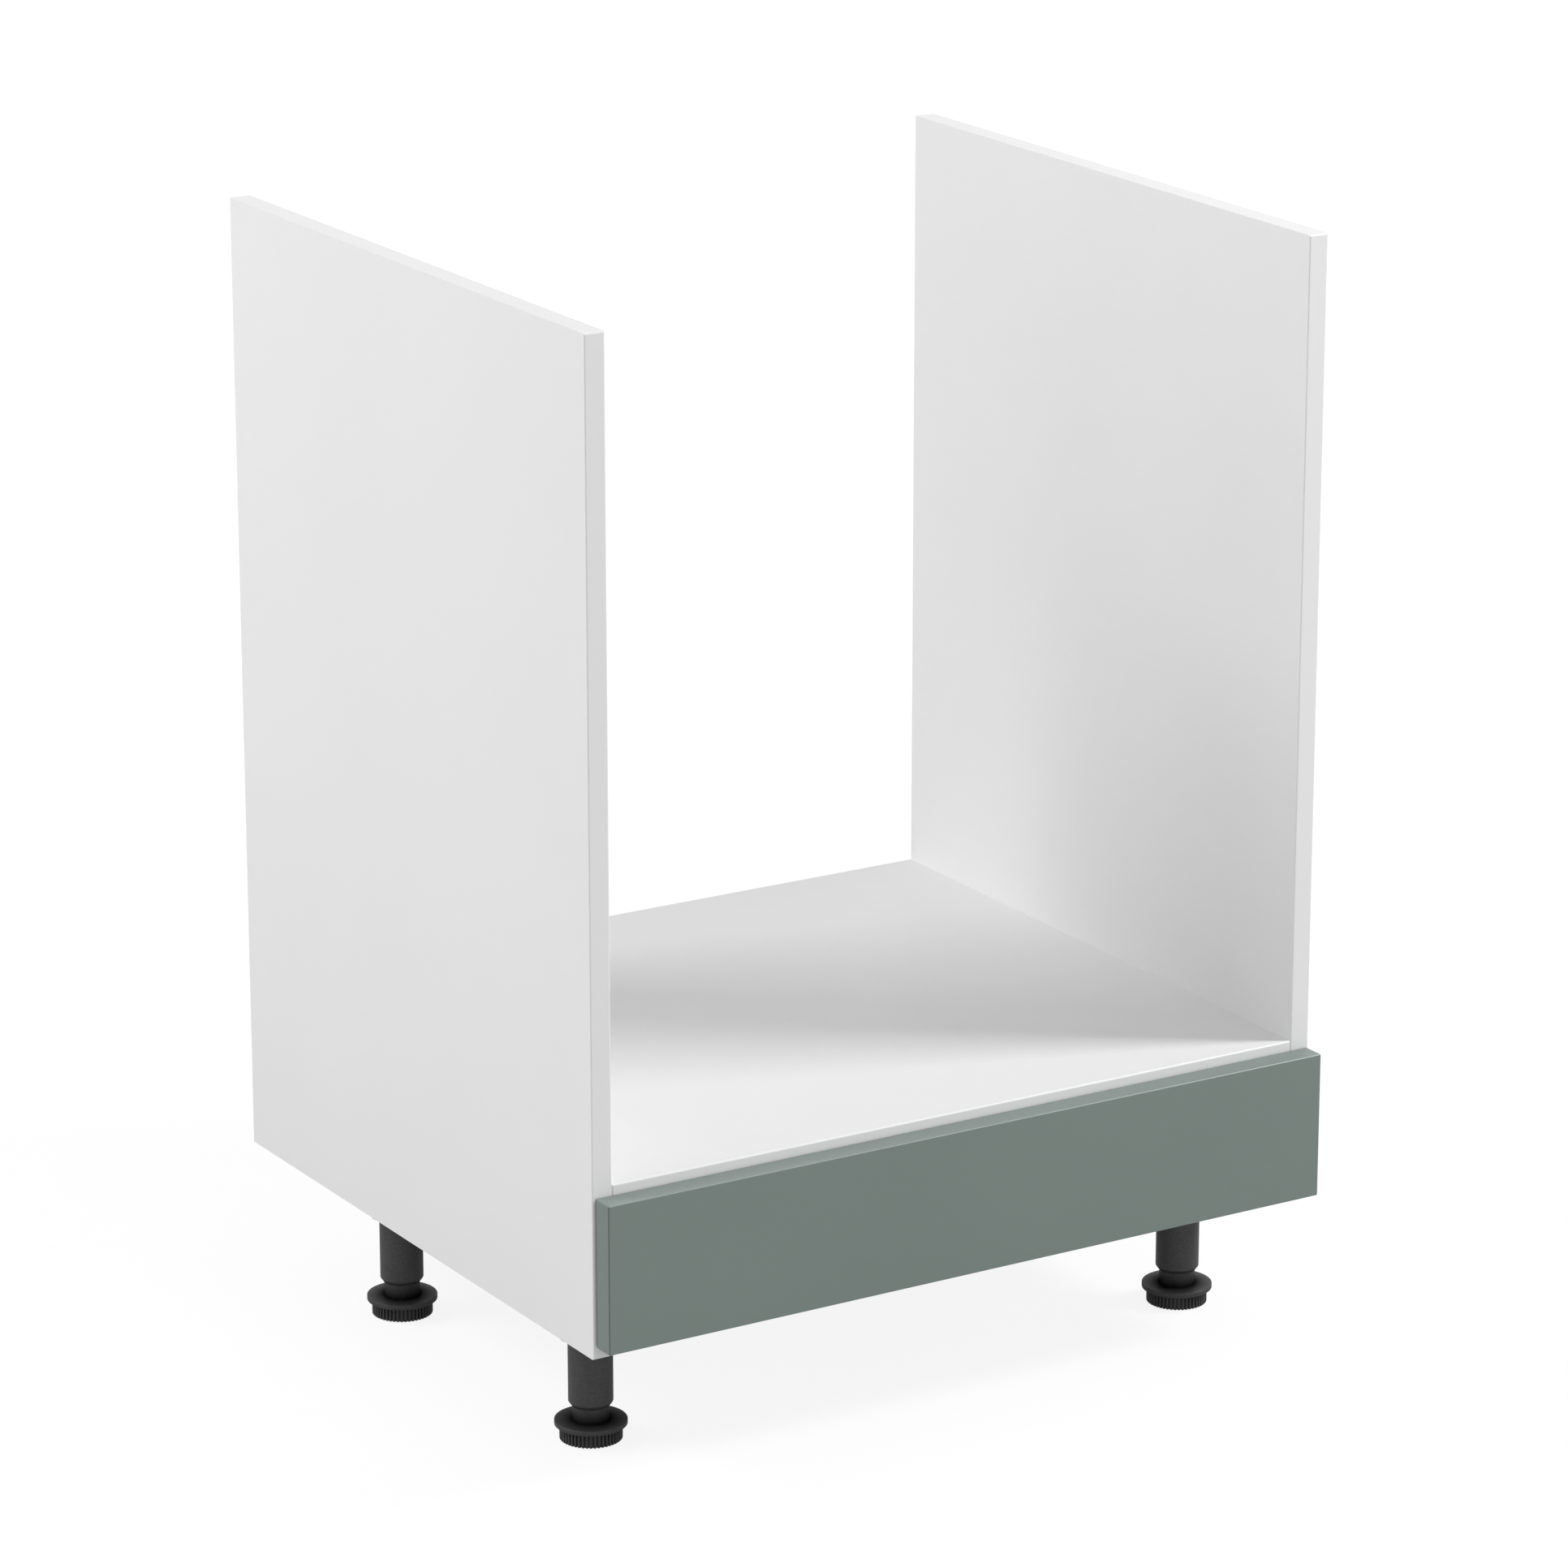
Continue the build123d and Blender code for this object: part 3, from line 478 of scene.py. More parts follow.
@dataclass(frozen=True)
class MouldedPlastic(Finish):
    """Moulded plastic with the mottled grain of a spark-eroded mould, and painted shade where a
    piece carries it.
    """

    sheen: float = 0.12
    relief: float = 0.00012
    strength: float = 0.5
    grain: float = 0.0008
    mottle_grains: float = 3.5
    mottle_share: float = 0.25
    mottle_relief: float = 0.3

    def material(self, slot: Slot) -> Material:
        """Make the finish, with painted shade: a dull black diffuse where the piece's attribute
        asks for it.
        """
        shading = Shading(slot.value)
        return shading.finish(self.layers(shading, shading.place()), shading.own(PAINTED_SHADE_ATTRIBUTE))

    def layers(self, shading: Shading, place: Socket) -> Layers:
        """Mottled colour and sheen over a grain in relief."""
        grain = shading.noise(place, self.grain)
        mottle = shading.noise(place, self.mottle_grains * self.grain, detail=3.0)
        share = (1.0 - self.mottle_share) * grain + self.mottle_share * mottle
        share = share.rise(*CLOUD_RISE)
        height = grain + self.mottle_relief * mottle
        return self.surfaced(shading, self.clouded(shading, share), share, height)


@dataclass(frozen=True)
class PowderCoat(Finish):
    """Powder-coated sheet steel: thick, smooth and slightly wavy."""

    relief: float = 0.00008
    strength: float = 0.4
    cloud: float = 0.03
    wave: float = 0.0018

    def layers(self, shading: Shading, place: Socket) -> Layers:
        """Even colour over a rounded wave."""
        wave = shading.noise(place, self.wave, detail=1.0)
        base = self.clouded(shading, shading.noise(place, self.cloud))
        return self.surfaced(shading, base, wave, wave)


@dataclass(frozen=True)
class ZincPlate(Finish):
    """Bright zinc plating: metal with small crystals and a soft haze."""

    sheen: float = 0.14
    relief: float = 0.00001
    cloud: float = 0.004
    crystal: float = 0.0007
    haze_share: float = 0.4
    metallic: float = 1.0

    def layers(self, shading: Shading, place: Socket) -> Layers:
        """Metal whose crystals differ in shade and polish."""
        crystals = shading.cells(place, self.crystal)
        haze = shading.noise(place, self.cloud, detail=3.0)
        share = crystals * (1.0 - self.haze_share) + haze * self.haze_share
        layers = self.surfaced(shading, self.clouded(shading, share), haze, crystals)
        return {**layers, "Metallic": self.metallic}


@dataclass(frozen=True)
class DieCast(Finish):
    """Raw die casting: dull metal with a fine skin and darker flow marks."""

    sheen: float = 0.15
    relief: float = 0.00006
    strength: float = 0.5
    cloud: float = 0.003
    skin: float = 0.0006
    metallic: float = 0.85

    def layers(self, shading: Shading, place: Socket) -> Layers:
        """Dull metal with flow marks."""
        flow = shading.noise(place, self.cloud, detail=4.0)
        skin = shading.noise(place, self.skin)
        base = self.clouded(shading, flow.rise(*CLOUD_RISE))
        return {**self.surfaced(shading, base, flow, skin), "Metallic": self.metallic}


@dataclass(frozen=True)
class Nylon(Finish):
    """Natural nylon: milky and a little waxy."""

    relief: float = 0.00004
    cloud: float = 0.0025
    milk: float = 0.1
    milk_reach: Vec = (0.002, 0.0018, 0.0014)

    def layers(self, shading: Shading, place: Socket) -> Layers:
        """Milky white with waxy sheen."""
        wax = shading.noise(place, self.cloud)
        return {
            **self.surfaced(shading, self.clouded(shading, wax), wax, wax),
            "Subsurface Weight": self.milk,
            "Subsurface Radius": self.milk_reach,
        }


@dataclass(frozen=True)
class Beech(Finish):
    """Turned beech: fine long grain with short dark flecks."""

    relief: float = 0.0001
    strength: float = 0.5
    grain: float = 0.0009
    grain_stretch: Vec = (0.12, 1.0, 1.0)
    grain_rise: Pair = (0.25, 0.75)
    fleck: float = 0.0011
    fleck_stretch: Vec = (0.35, 1.0, 1.0)
    fleck_rise: Pair = (0.6, 0.72)
    fleck_shade: float = 0.45

    def layers(self, shading: Shading, place: Socket) -> Layers:
        """Grain along the dowel with flecks."""
        long = shading.stretched(place, self.grain_stretch)
        grain = shading.noise(long, self.grain, detail=4.0)
        short = shading.stretched(place, self.fleck_stretch)
        flecks = shading.noise(short, self.fleck).rise(*self.fleck_rise)
        wood = self.clouded(shading, grain.rise(*self.grain_rise))
        base = shading.mixed(flecks, wood, shade(self.colour, self.fleck_shade))
        return self.surfaced(shading, base, grain, grain)


FINISHES: Mapping[Slot, Finish] = {
    # The white board's painted top shade starts at the cabinet's top.
    Slot.WHITE_BOARD: Melamine((0.86, 0.86, 0.86), 0.42, 0.006, painted_top=CAD_HIGH[2]),
    Slot.WHITE_HARDBOARD: Hardboard((0.82, 0.82, 0.81), 0.4, 0.01),
    Slot.WHITE_EDGING: EdgePlastic((0.88, 0.88, 0.88), 0.36, 0.006),
    Slot.LACQUER: Lacquer((0.189, 0.235, 0.215), 0.34, 0.03, back=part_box("drawer_front")[1][1]),
    Slot.PLATED_STEEL: ZincPlate((0.62, 0.63, 0.64), 0.24, 0.12),
    Slot.CAST_ZINC: DieCast((0.42, 0.42, 0.43), 0.45, 0.15),
    Slot.BEECH: Beech((0.60, 0.42, 0.25), 0.55, 0.2),
    Slot.COATED_STEEL: PowderCoat((0.78, 0.77, 0.73), 0.3, 0.02),
    Slot.NYLON: Nylon((0.80, 0.79, 0.73), 0.35, 0.03),
    Slot.BUMPER: Nylon((0.74, 0.75, 0.74), 0.2, 0.04),
    Slot.BLACK_PLASTIC: MouldedPlastic((0.040, 0.040, 0.041), 0.42, 0.4),
    Slot.GLIDE: MouldedPlastic((0.11, 0.11, 0.11), 0.7, 0.2),
}


@cache
def dressed(slot: Slot) -> Material:
    """The material of a slot, made from its finish the first time that it is asked for."""
    return FINISHES[slot].material(slot)


def unit(rows: Array) -> Array:
    """Rows with the length taken out, so that each is 1 long."""
    return rows / np.linalg.norm(rows, axis=-1, keepdims=True)


@dataclass(frozen=True)
class Place:
    """Where a turned piece stands: a point on its axis and the way the axis runs."""

    origin: Vec
    axis: Vec = UP

    def carry(self, points: Array) -> Array:
        """Move points from the piece's own axes to the frame.

        The third own axis becomes the place's axis w. The first is the frame axis least in
        line with w, made square to it, and the second is their cross product.
        """
        along = unit(np.asarray(self.axis, float))
        helper = np.eye(3)[np.argmin(np.abs(along))]
        first = unit(helper - helper.dot(along) * along)
        basis = np.stack([first, np.cross(along, first), along])
        return points @ basis + np.asarray(self.origin, float)


def angles(columns: int) -> Array:
    """Angles of a full turn, the first repeated at the end, where the surface meets itself."""
    return np.linspace(0.0, TURN, columns + 1)


def rounded(corners: Sequence[tuple[float, float, float]]) -> Array:
    """Closed outline with arcs in its corners.

    Each corner is a radius from the axis, a height and a rounding. With unit directions a and b
    from the corner to its neighbours and half their angle h, the arc's centre lies on their
    bisector at rounding / sin h, and the arc turns by pi / 2 - h to either side of it.

    Returns:
        Rows of radius and height, the first repeated at the end.
    """
    table = np.asarray(corners, float)
    points, rounding = table[:, :2], table[:, 2:3]
    back = unit(np.roll(points, 1, axis=0) - points)
    ahead = unit(np.roll(points, -1, axis=0) - points)
    bisector = unit(back + ahead)
    half = np.arccos(np.clip((back * bisector).sum(1, keepdims=True), -1.0, 1.0))
    side = unit(ahead - (ahead * bisector).sum(1, keepdims=True) * bisector)
    centre = points + bisector * rounding / np.sin(half)
    sweep = (np.pi / 2 - half) * np.linspace(-1.0, 1.0, ARC_POINTS)[None, :]
    arcs = (
        centre[:, None, :]
        - rounding[:, None, :] * np.cos(sweep)[:, :, None] * bisector[:, None, :]
        + rounding[:, None, :] * np.sin(sweep)[:, :, None] * side[:, None, :]
    )
    outline = arcs.reshape(-1, 2)
    return np.vstack([outline, outline[:1]])


def around(radius: Array, height: Array, angle: Array) -> Array:
    """Grid of the points (r cos t, r sin t, h)."""
    return np.stack([radius * np.cos(angle), radius * np.sin(angle), height], axis=2)


def turned(profile: Array, columns: int, ripple: Ripple | None = None) -> Array:
    """Surface of revolution about the own third axis.

    A profile point of radius r and height h goes round to (r' cos t, r' sin t, h), where r' is
    r or what the ripple makes of r, h and t.

    Args:
        profile: rows of radius and height.
        columns: steps of a full turn.
        ripple: optional change of the radius, worked out on whole grids.

    Returns:
        A grid of points, profile rows by angle columns.
    """
    angle = angles(columns)[None, :]
    radius, height = np.repeat(profile.T[:, :, None], columns + 1, axis=2)
    if ripple is not None:
        radius = ripple(radius, height, angle)
    return around(radius, height, angle)


def added(name: str, data: Any) -> Thing:
    """A new object in the scene, showing a mesh, lamp or camera."""
    thing = bpy.data.objects.new(name, data)
    bpy.context.scene.collection.objects.link(thing)
    return thing


@dataclass
class Shell:
    """Surfaces gathered for one piece, joined where their points meet."""

    grids: list[Array] = field(default_factory=list)

    def add(self, grid: Array, place: Place) -> None:
        """Take in one grid of points, standing at a place."""
        self.grids.append(place.carry(grid))

    def _mesh(self, name: str) -> Mesh:
        """Four-sided faces over every grid, as one mesh."""
        corners, start = [], 0
        for grid in self.grids:
            rows, columns = grid.shape[:2]
            index = start + np.arange(rows * columns).reshape(rows, columns)
            low, high = index[:-1], index[1:]
            faces = np.stack([low[:, :-1], low[:, 1:], high[:, 1:], high[:, :-1]], axis=2)
            corners.append(faces.reshape(-1, 4))
            start += rows * columns
        places = np.vstack([grid.reshape(-1, 3) for grid in self.grids])
        loops = np.vstack(corners)
        mesh = bpy.data.meshes.new(name)
        mesh.vertices.add(len(places))
        mesh.vertices.foreach_set("co", places.ravel())
        mesh.loops.add(loops.size)
        mesh.loops.foreach_set("vertex_index", loops.ravel())
        mesh.polygons.add(len(loops))
        mesh.polygons.foreach_set("loop_start", np.arange(0, loops.size, 4))
        mesh.update(calc_edges=True)
        return mesh

    def piece(self, name: str, slot: Slot, body: str, stands_for: Sequence[str]) -> Thing:
        """Close the surfaces into one piece that rides on a body.

        Args:
            name: the piece's name.
            slot: the material slot that it takes its finish from.
            body: the moving or fixed body that carries it.
            stands_for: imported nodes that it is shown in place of.

        Returns:
            The new object.
        """
        mesh = self._mesh(name)
        work = bmesh.new()
        work.from_mesh(mesh)
        bmesh.ops.remove_doubles(work, verts=work.verts, dist=MERGE_DISTANCE)
        bmesh.ops.dissolve_degenerate(work, edges=work.edges, dist=MERGE_DISTANCE / 2)
        bmesh.ops.recalc_face_normals(work, faces=work.faces)
        work.to_mesh(mesh)
        work.free()
        mesh.shade_smooth()
        mesh.set_sharp_from_angle(angle=math.radians(SHARP_DEGREES))
        thing = added(name, mesh)
        mesh.materials.append(dressed(slot))
        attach(thing, body)
        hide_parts(*stands_for)
        LOG.info("%s: %d faces on %s", name, len(mesh.polygons), body)
        return thing


def moulded(
    node: str,
    slot: Slot,
    body: str,
    place: Place,
    outline: Array,
    columns: int,
    ripple: Ripple | None = None,
) -> Thing:
    """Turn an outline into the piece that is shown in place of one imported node."""
    shell = Shell()
    shell.add(turned(outline, columns, ripple), place)
    return shell.piece(f"{node}_moulded", slot, body, [node])


def node_box(node: str) -> tuple[Array, Array]:
    """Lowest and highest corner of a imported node, as arrays."""
    low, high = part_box(node)
    return np.array(low), np.array(high)


def vertex_places(mesh: Mesh) -> Array:
    """Places of a mesh's vertices, one row each."""
    places = np.zeros(len(mesh.vertices) * 3)
    mesh.vertices.foreach_get("co", places)
    return places.reshape(-1, 3)


def solids_of(node: str) -> list[tuple[Array, Array]]:
    """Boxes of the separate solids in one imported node.

    Corners at one place count as one. Each triangle hands its lowest label to its corners
    until nothing changes, so that every solid ends with one label of its own.

    Args:
        node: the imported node's name.

    Returns:
        Lowest and highest corner of each solid.
    """
    mesh = frame["nodes"][node].data
    places = vertex_places(mesh)
    triangles = np.zeros(len(mesh.loops), int)
    mesh.loops.foreach_get("vertex_index", triangles)
    _, same = np.unique(np.round(places, 6), axis=0, return_inverse=True)
    corners = same.reshape(-1)[triangles].reshape(-1, 3)
    label = np.arange(corners.max() + 1)
    while True:
        lowest = label.copy()
        np.minimum.at(lowest, corners, label[corners].min(axis=1)[:, None])
        if np.array_equal(lowest, label):
            break
        label = lowest
    mine = label[same.reshape(-1)]
    return [(places[mine == one].min(0), places[mine == one].max(0)) for one in np.unique(mine)]


@dataclass(frozen=True)
class ScrewShape:
    """Sizes of one kind of screw. Its own axis runs from the head's face to the tip.

    Head, thread and core are radii, and plain is the length of the neck without thread.
    """

    head: float
    thread: float
    core: float
    length: float
    pitch: float
    head_height: float = 0.0
    sunk: bool = False
    plain: float = 0.0
    recess_radius: float = 0.0026
    recess_depth: float = 0.0018
    recess_arm: float = 0.00055
    recess_blur: float = 0.00025
    crown_share: float = 0.35
    ridge_half: float = 0.3
    plain_gap: float = 0.0002
    tip_pitches: float = 1.5
    tip_power: float = 0.7
    rings: int = 15
    rows_a_pitch: int = 8
    columns: int = 36

    def grid(self) -> Array:
        """The whole screw as one grid, from the middle of its head to its tip."""
        angle = angles(self.columns)[None, :]
        return np.concatenate([self._head(angle), self._shank(angle)], axis=0)

    def _head(self, angle: Array) -> Array:
        """Head's face and rim.

        The face is a disc whose depth is the crown c (r / R)^2 plus the cross: an arm lies where
        the smaller of |x| and |y| is under the arm's half width, and its floor rises to the face
        as the square root of 1 - r / reach.
        """
        share = np.linspace(0.0, 1.0, self.rings)[:, None]
        radius = share * self.head + np.zeros_like(angle)
        crown = 0.0 if self.sunk else self.crown_share * self.head_height
        x, y = np.abs(radius * np.cos(angle)), np.abs(radius * np.sin(angle))
        arm = (self.recess_arm - np.minimum(x, y)) / self.recess_blur
        arm = np.clip(arm + 0.5, 0.0, 1.0)
        floor = np.sqrt(np.clip(1.0 - radius / self.recess_radius, 0.0, 1.0))
        depth = crown * share**2 + self.recess_depth * arm * floor
        face = around(radius, depth, angle)
        if self.sunk:
            return face
        rim = turned(np.array([[self.head, self.head_height]]), self.columns)
        return np.concatenate([face, rim], axis=0)

    def _shank(self, angle: Array) -> Array:
        """Neck and helical thread.

        The thread's radius is the core plus a ridge that falls off evenly to both sides of the
        helix z / pitch - t / 2 pi. Both shrink to the tip over the last one and a half pitches.
        """
        neck = self.head - self.thread if self.sunk else self.head_height
        start = neck + self.plain
        rows = int(self.rows_a_pitch * (self.length - start) / self.pitch)
        height = np.linspace(start, self.length, rows)[:, None] + np.zeros_like(angle)
        phase = (height / self.pitch - angle / TURN) % 1.0
        ridge = np.clip(1.0 - np.abs(phase - 0.5) / self.ridge_half, 0.0, 1.0)
        left = (self.length - height) / (self.tip_pitches * self.pitch)
        taper = np.clip(left, 0.0, 1.0) ** self.tip_power
        radius = (self.core + (self.thread - self.core) * ridge) * taper
        end = start - self.plain_gap
        plain = np.array([[self.thread, neck], [self.thread, end]])
        thread = around(radius, height, angle)
        return np.concatenate([turned(plain, self.columns), thread], axis=0)


@dataclass
class Fasteners:
    """Screws of one kind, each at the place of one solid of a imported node.

    The heading is that of the screws on the right. On the left it is mirrored.
    """

    node: str
    body: str
    shape: ScrewShape
    heading: Vec

    def build(self) -> None:
        """Stand a shaped screw in each solid's box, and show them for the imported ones."""
        shell = Shell()
        for low, high in solids_of(self.node):
            middle = (low + high) / 2
            along = np.array(self.heading) * (math.copysign(1.0, middle[0]), 1.0, 1.0)
            start = np.where(along > 0, low, np.where(along < 0, high, middle))
            shell.add(self.shape.grid(), Place(tuple(start), tuple(along)))
        shell.piece(f"{self.node}_shaped", Slot.PLATED_STEEL, self.body, [self.node])


PLATE_SCREW = ScrewShape(
    head=0.004, thread=0.002, core=0.0014, length=0.015, pitch=0.0018, sunk=True
)
PAN_SCREW = ScrewShape(
    head=0.0035,
    thread=0.00175,
    core=0.0012,
    length=0.0129,
    pitch=0.0016,
    head_height=0.0009,
    recess_depth=0.0008,
)
BOTTOM_SCREW = replace(PAN_SCREW, thread=0.0015, core=0.001, length=0.0169, pitch=0.0014)
BACK_SCREW = replace(
    PLATE_SCREW, head=0.00475, thread=0.0025, core=0.0021, length=0.05, pitch=0.003, plain=0.0137
)
FASTENERS = (
    Fasteners("leg_socket_screws", "carcass", PLATE_SCREW, UP),
    Fasteners("cabinet_runner_screws", "carcass", PAN_SCREW, OUTWARDS),
    Fasteners("drawer_runner_screws", "drawer", PAN_SCREW, INWARDS),
    Fasteners("drawer_bottom_screws", "drawer", BOTTOM_SCREW, UP),
    Fasteners("drawer_back_screws", "drawer", BACK_SCREW, INWARDS),
)


@dataclass
class ScrewedLeg:
    """One leg: tube with its nut collar, screw-in foot and glide pad, all moulded."""

    corner: str
    neck_radius: float = 0.0132
    neck_top: float = 0.028
    stem_radius: float = 0.010
    stem_wall: float = 0.0025
    stem_cap: float = 0.004
    ring_radius: float = 0.0224
    ring_top: float = 0.0115
    rib_depth: float = 0.0015
    rib_count: int = 48
    rib_share: float = 0.6
    rib_slope: float = 2.5
    rib_columns: int = 8
    disc_top: float = 0.015
    pocket_radius: float = 0.0183
    pocket_top: float = 0.0032
    tube_bore: float = 0.0135
    tube_land: float = 0.0003
    tube_columns: int = 96
    nut_bore: float = 0.01015
    nut_low: float = 0.038
    nut_top: float = 0.053
    chamfer: float = 0.003
    seam: float = 0.00008
    seam_angle: float = math.pi / 8
    seam_width: float = 0.05
    seam_from: float = 0.0155
    # Reach of the painted shade round the ring where the neck meets the disc.
    painted_shade_reach: float = 0.009
    pad_top: float = 0.003
    pad_columns: int = 72
    plug_play: float = 0.0003
    crisp: float = 0.0001
    small: float = 0.0003
    soft: float = 0.0004
    wide: float = 0.0006

    def build(self) -> None:
        """Make the three moulded pieces of this leg."""
        self._tube()
        self._foot()
        self._pad()

    def _stand(self, node: str) -> tuple[Place, float, float, float]:
        """Upright place through a node's middle, its radius, and its lowest and highest level."""
        low, high = node_box(node)
        middle = (low + high) / 2
        place = Place((middle[0], middle[1], 0.0))
        return place, (high[0] - low[0]) / 2, low[2], high[2]

    def _tube(self) -> None:
        """Tube whose lower end is chamfered, with two fine mould seams."""
        node = f"leg_tube_{self.corner}"
        place, radius, low, high = self._stand(node)
        corners = [
            (self.tube_bore, low, 0.0),
            (self.tube_bore + self.tube_land, low, self.crisp),
            (radius, low + self.chamfer, 3.0 * self.soft),
            (radius, high, self.crisp),
            (self.tube_bore, high, 0.0),
            (self.tube_bore, self.nut_top, self.soft),
            (self.nut_bore, self.nut_top, self.soft),
            (self.nut_bore, self.nut_low, self.soft),
            (self.tube_bore, self.nut_low, self.soft),
        ]
        outline, black = rounded(corners), Slot.BLACK_PLASTIC
        moulded(node, black, "carcass", place, outline, self.tube_columns, self._seam)

    def _seam(self, radius: Array, height: Array, angle: Array) -> Array:
        """Two mould seams on the tube's outside.

        r grows by the seam's height times exp(-(a / width)^2), where a is how far t is from the
        seam's angle or from the one opposite.
        """
        quarter = np.pi / 2
        off = (angle - self.seam_angle + quarter) % np.pi - quarter
        bell = np.exp(-((off / self.seam_width) ** 2))
        return radius + self.seam * bell * (radius > self.seam_from)

    def _ribs(self, radius: Array, height: Array, angle: Array) -> Array:
        """Grip ribs: outside the root, r is drawn in to it between the ribs.

        r' = root + (r - root) w, where w is half plus the slope times what the cosine of n t has
        over its value at the ribs' flanks, held between 0 and 1. Only the ring is ribbed, not
        the disc over it.
        """
        root = self.ring_radius - self.rib_depth
        flank = math.cos(math.pi * self.rib_share)
        over = np.cos(self.rib_count * angle) - flank
        wave = np.clip(0.5 + self.rib_slope * over, 0.0, 1.0)
        within = (radius > root) & (radius < self.ring_radius + EDGE_SLACK)
        ring = within & (height < self.ring_top + EDGE_SLACK)
        return np.where(ring, root + (radius - root) * wave, radius)

    def _foot(self) -> None:
        """Screw-in foot: ribbed grip ring, disc, smooth neck and hollow stem."""
        node = f"foot_{self.corner}"
        place, disc, low, high = self._stand(node)
        bore = self.stem_radius - self.stem_wall
        roof = high - self.stem_cap
        corners = [
            (self.pocket_radius, low, 2.0 * self.crisp),
            (self.ring_radius, low, self.small),
            (self.ring_radius, self.ring_top, 0.0),
            (disc, self.ring_top, self.soft),
            (disc, self.disc_top, self.soft),
            (self.neck_radius, self.disc_top, self.soft),
            (self.neck_radius, self.neck_top, self.soft),
            (self.stem_radius, self.neck_top, 0.0),
            (self.stem_radius, high, self.wide),
            (0.0, high, 0.0),
            (0.0, roof, 0.0),
            (bore, roof, self.wide),
            (bore, self.pocket_top, self.soft),
            (self.pocket_radius, self.pocket_top, 0.0),
        ]
        outline, columns = rounded(corners), self.rib_columns * self.rib_count
        foot = moulded(node, Slot.BLACK_PLASTIC, node, place, outline, columns, self._ribs)
        self._paint_neck_shade(foot.data, place)

    def _paint_neck_shade(self, mesh: Mesh, place: Place) -> None:
        """Write each vertex's share of painted shade, darkest where the neck meets the disc.

        It is the exponential of minus (d / reach)^2, where d is the distance from the ring at
        which the neck meets the disc.
        """
        points = vertex_places(mesh) - np.asarray(place.origin)
        from_neck = np.hypot(points[:, 0], points[:, 1]) - self.neck_radius
        distance = np.hypot(from_neck, points[:, 2] - self.disc_top)
        shares = np.exp(-((distance / self.painted_shade_reach) ** 2))
        mesh.attributes.new(PAINTED_SHADE_ATTRIBUTE, "FLOAT", "POINT").data.foreach_set("value", shares)

    def _pad(self) -> None:
        """Glide pad with a soft rim and the plug that holds it in the foot."""
        node = f"glide_pad_{self.corner}"
        place, radius, low, high = self._stand(node)
        plug = self.stem_radius - self.stem_wall - self.plug_play
        corners = [
            (0.0, low, 0.0),
            (radius, low, self.wide + self.crisp),
            (radius, self.pad_top, self.wide),
            (plug, self.pad_top, self.small),
            (plug, high, 2.0 * self.soft),
            (0.0, high, 0.0),
        ]
        body, outline = f"glide_{self.corner}", rounded(corners)
        moulded(node, Slot.GLIDE, body, place, outline, self.pad_columns)


@dataclass
class Roller:
    """Nylon roller with rounded tread, a thinner web and a hub round its bore."""

    name: str
    bore: float = 0.00208
    hub: float = 0.0036
    rim: float = 0.0022
    dish: float = 0.0011
    draft: float = 0.0004
    tread_round: float = 0.0008
    edge_round: float = 0.0003
    dish_round: float = 0.0002
    columns: int = 72

    def build(self) -> None:
        """Make the roller about its axle, with both faces dished between hub and rim."""
        low, high = node_box(self.name)
        middle = (low + high) / 2
        radius, half = (high[2] - low[2]) / 2, (high[0] - low[0]) / 2
        inner = radius - self.rim
        side = [
            (self.bore, half, 0.0),
            (self.hub, half, self.edge_round),
            (self.hub + self.draft, half - self.dish, self.dish_round),
            (inner - self.draft, half - self.dish, self.dish_round),
            (inner, half, self.edge_round),
            (radius, half, self.tread_round),
        ]
        other = [(r, -h, fillet) for r, h, fillet in reversed(side)]
        place = Place(tuple(middle), (1.0, 0.0, 0.0))
        outline = rounded(side + other)
        moulded(self.name, Slot.NYLON, self.name, place, outline, self.columns)


@dataclass
class Bumpers:
    """Clear dots on the back of the drawer front."""

    node: str = "drawer_bumpers"
    rings: int = 14
    columns: int = 40

    def build(self) -> None:
        """Each dot is a low dome: depth = height times the square root of 1 - (r / R)^3."""
        shell = Shell()
        for low, high in solids_of(self.node):
            middle = (low + high) / 2
            radius, height = (high[0] - low[0]) / 2, high[1] - low[1]
            share = np.linspace(1.0, 0.0, self.rings)
            dome = np.stack([share * radius, height * np.sqrt(1.0 - share**3)], axis=1)
            foot = np.array([[0.0, 0.0]])
            place = Place((middle[0], low[1], middle[2]), (0.0, 1.0, 0.0))
            shell.add(turned(np.vstack([foot, dome]), self.columns), place)
        shell.piece("drawer_bumpers_domed", Slot.BUMPER, "drawer", [self.node])


class PackedPieces:
    """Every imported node, dressed with the finish of its slot."""

    def build(self) -> None:
        """Put each plain packed material aside and give every node the finish of its slot."""
        for plain in list(bpy.data.materials):
            plain.name = f"plain_{plain.name}"
        for row in frame["record"]["subparts"]:
            for holder in frame["nodes"][row["node"]].material_slots:
                holder.material = dressed(Slot(row["material_slot"]))
        LOG.info("%d packed nodes dressed", len(frame["nodes"]))


@dataclass(frozen=True)
class Softbox:
    """A square lamp that looks at the cabinet's middle from a direction."""

    name: str
    direction: Vec
    distance: float
    side: float
    watts: float

    def build(self, target: Vector) -> None:
        """Hang the lamp and turn it towards the target."""
        lamp = bpy.data.lights.new(self.name, "AREA")
        lamp.shape = "SQUARE"
        lamp.size = self.side
        lamp.energy = self.watts
        holder = added(self.name, lamp)
        back = Vector(self.direction).normalized()
        holder.location = target + back * self.distance
        holder.rotation_euler = back.to_track_quat("Z", "Y").to_euler()


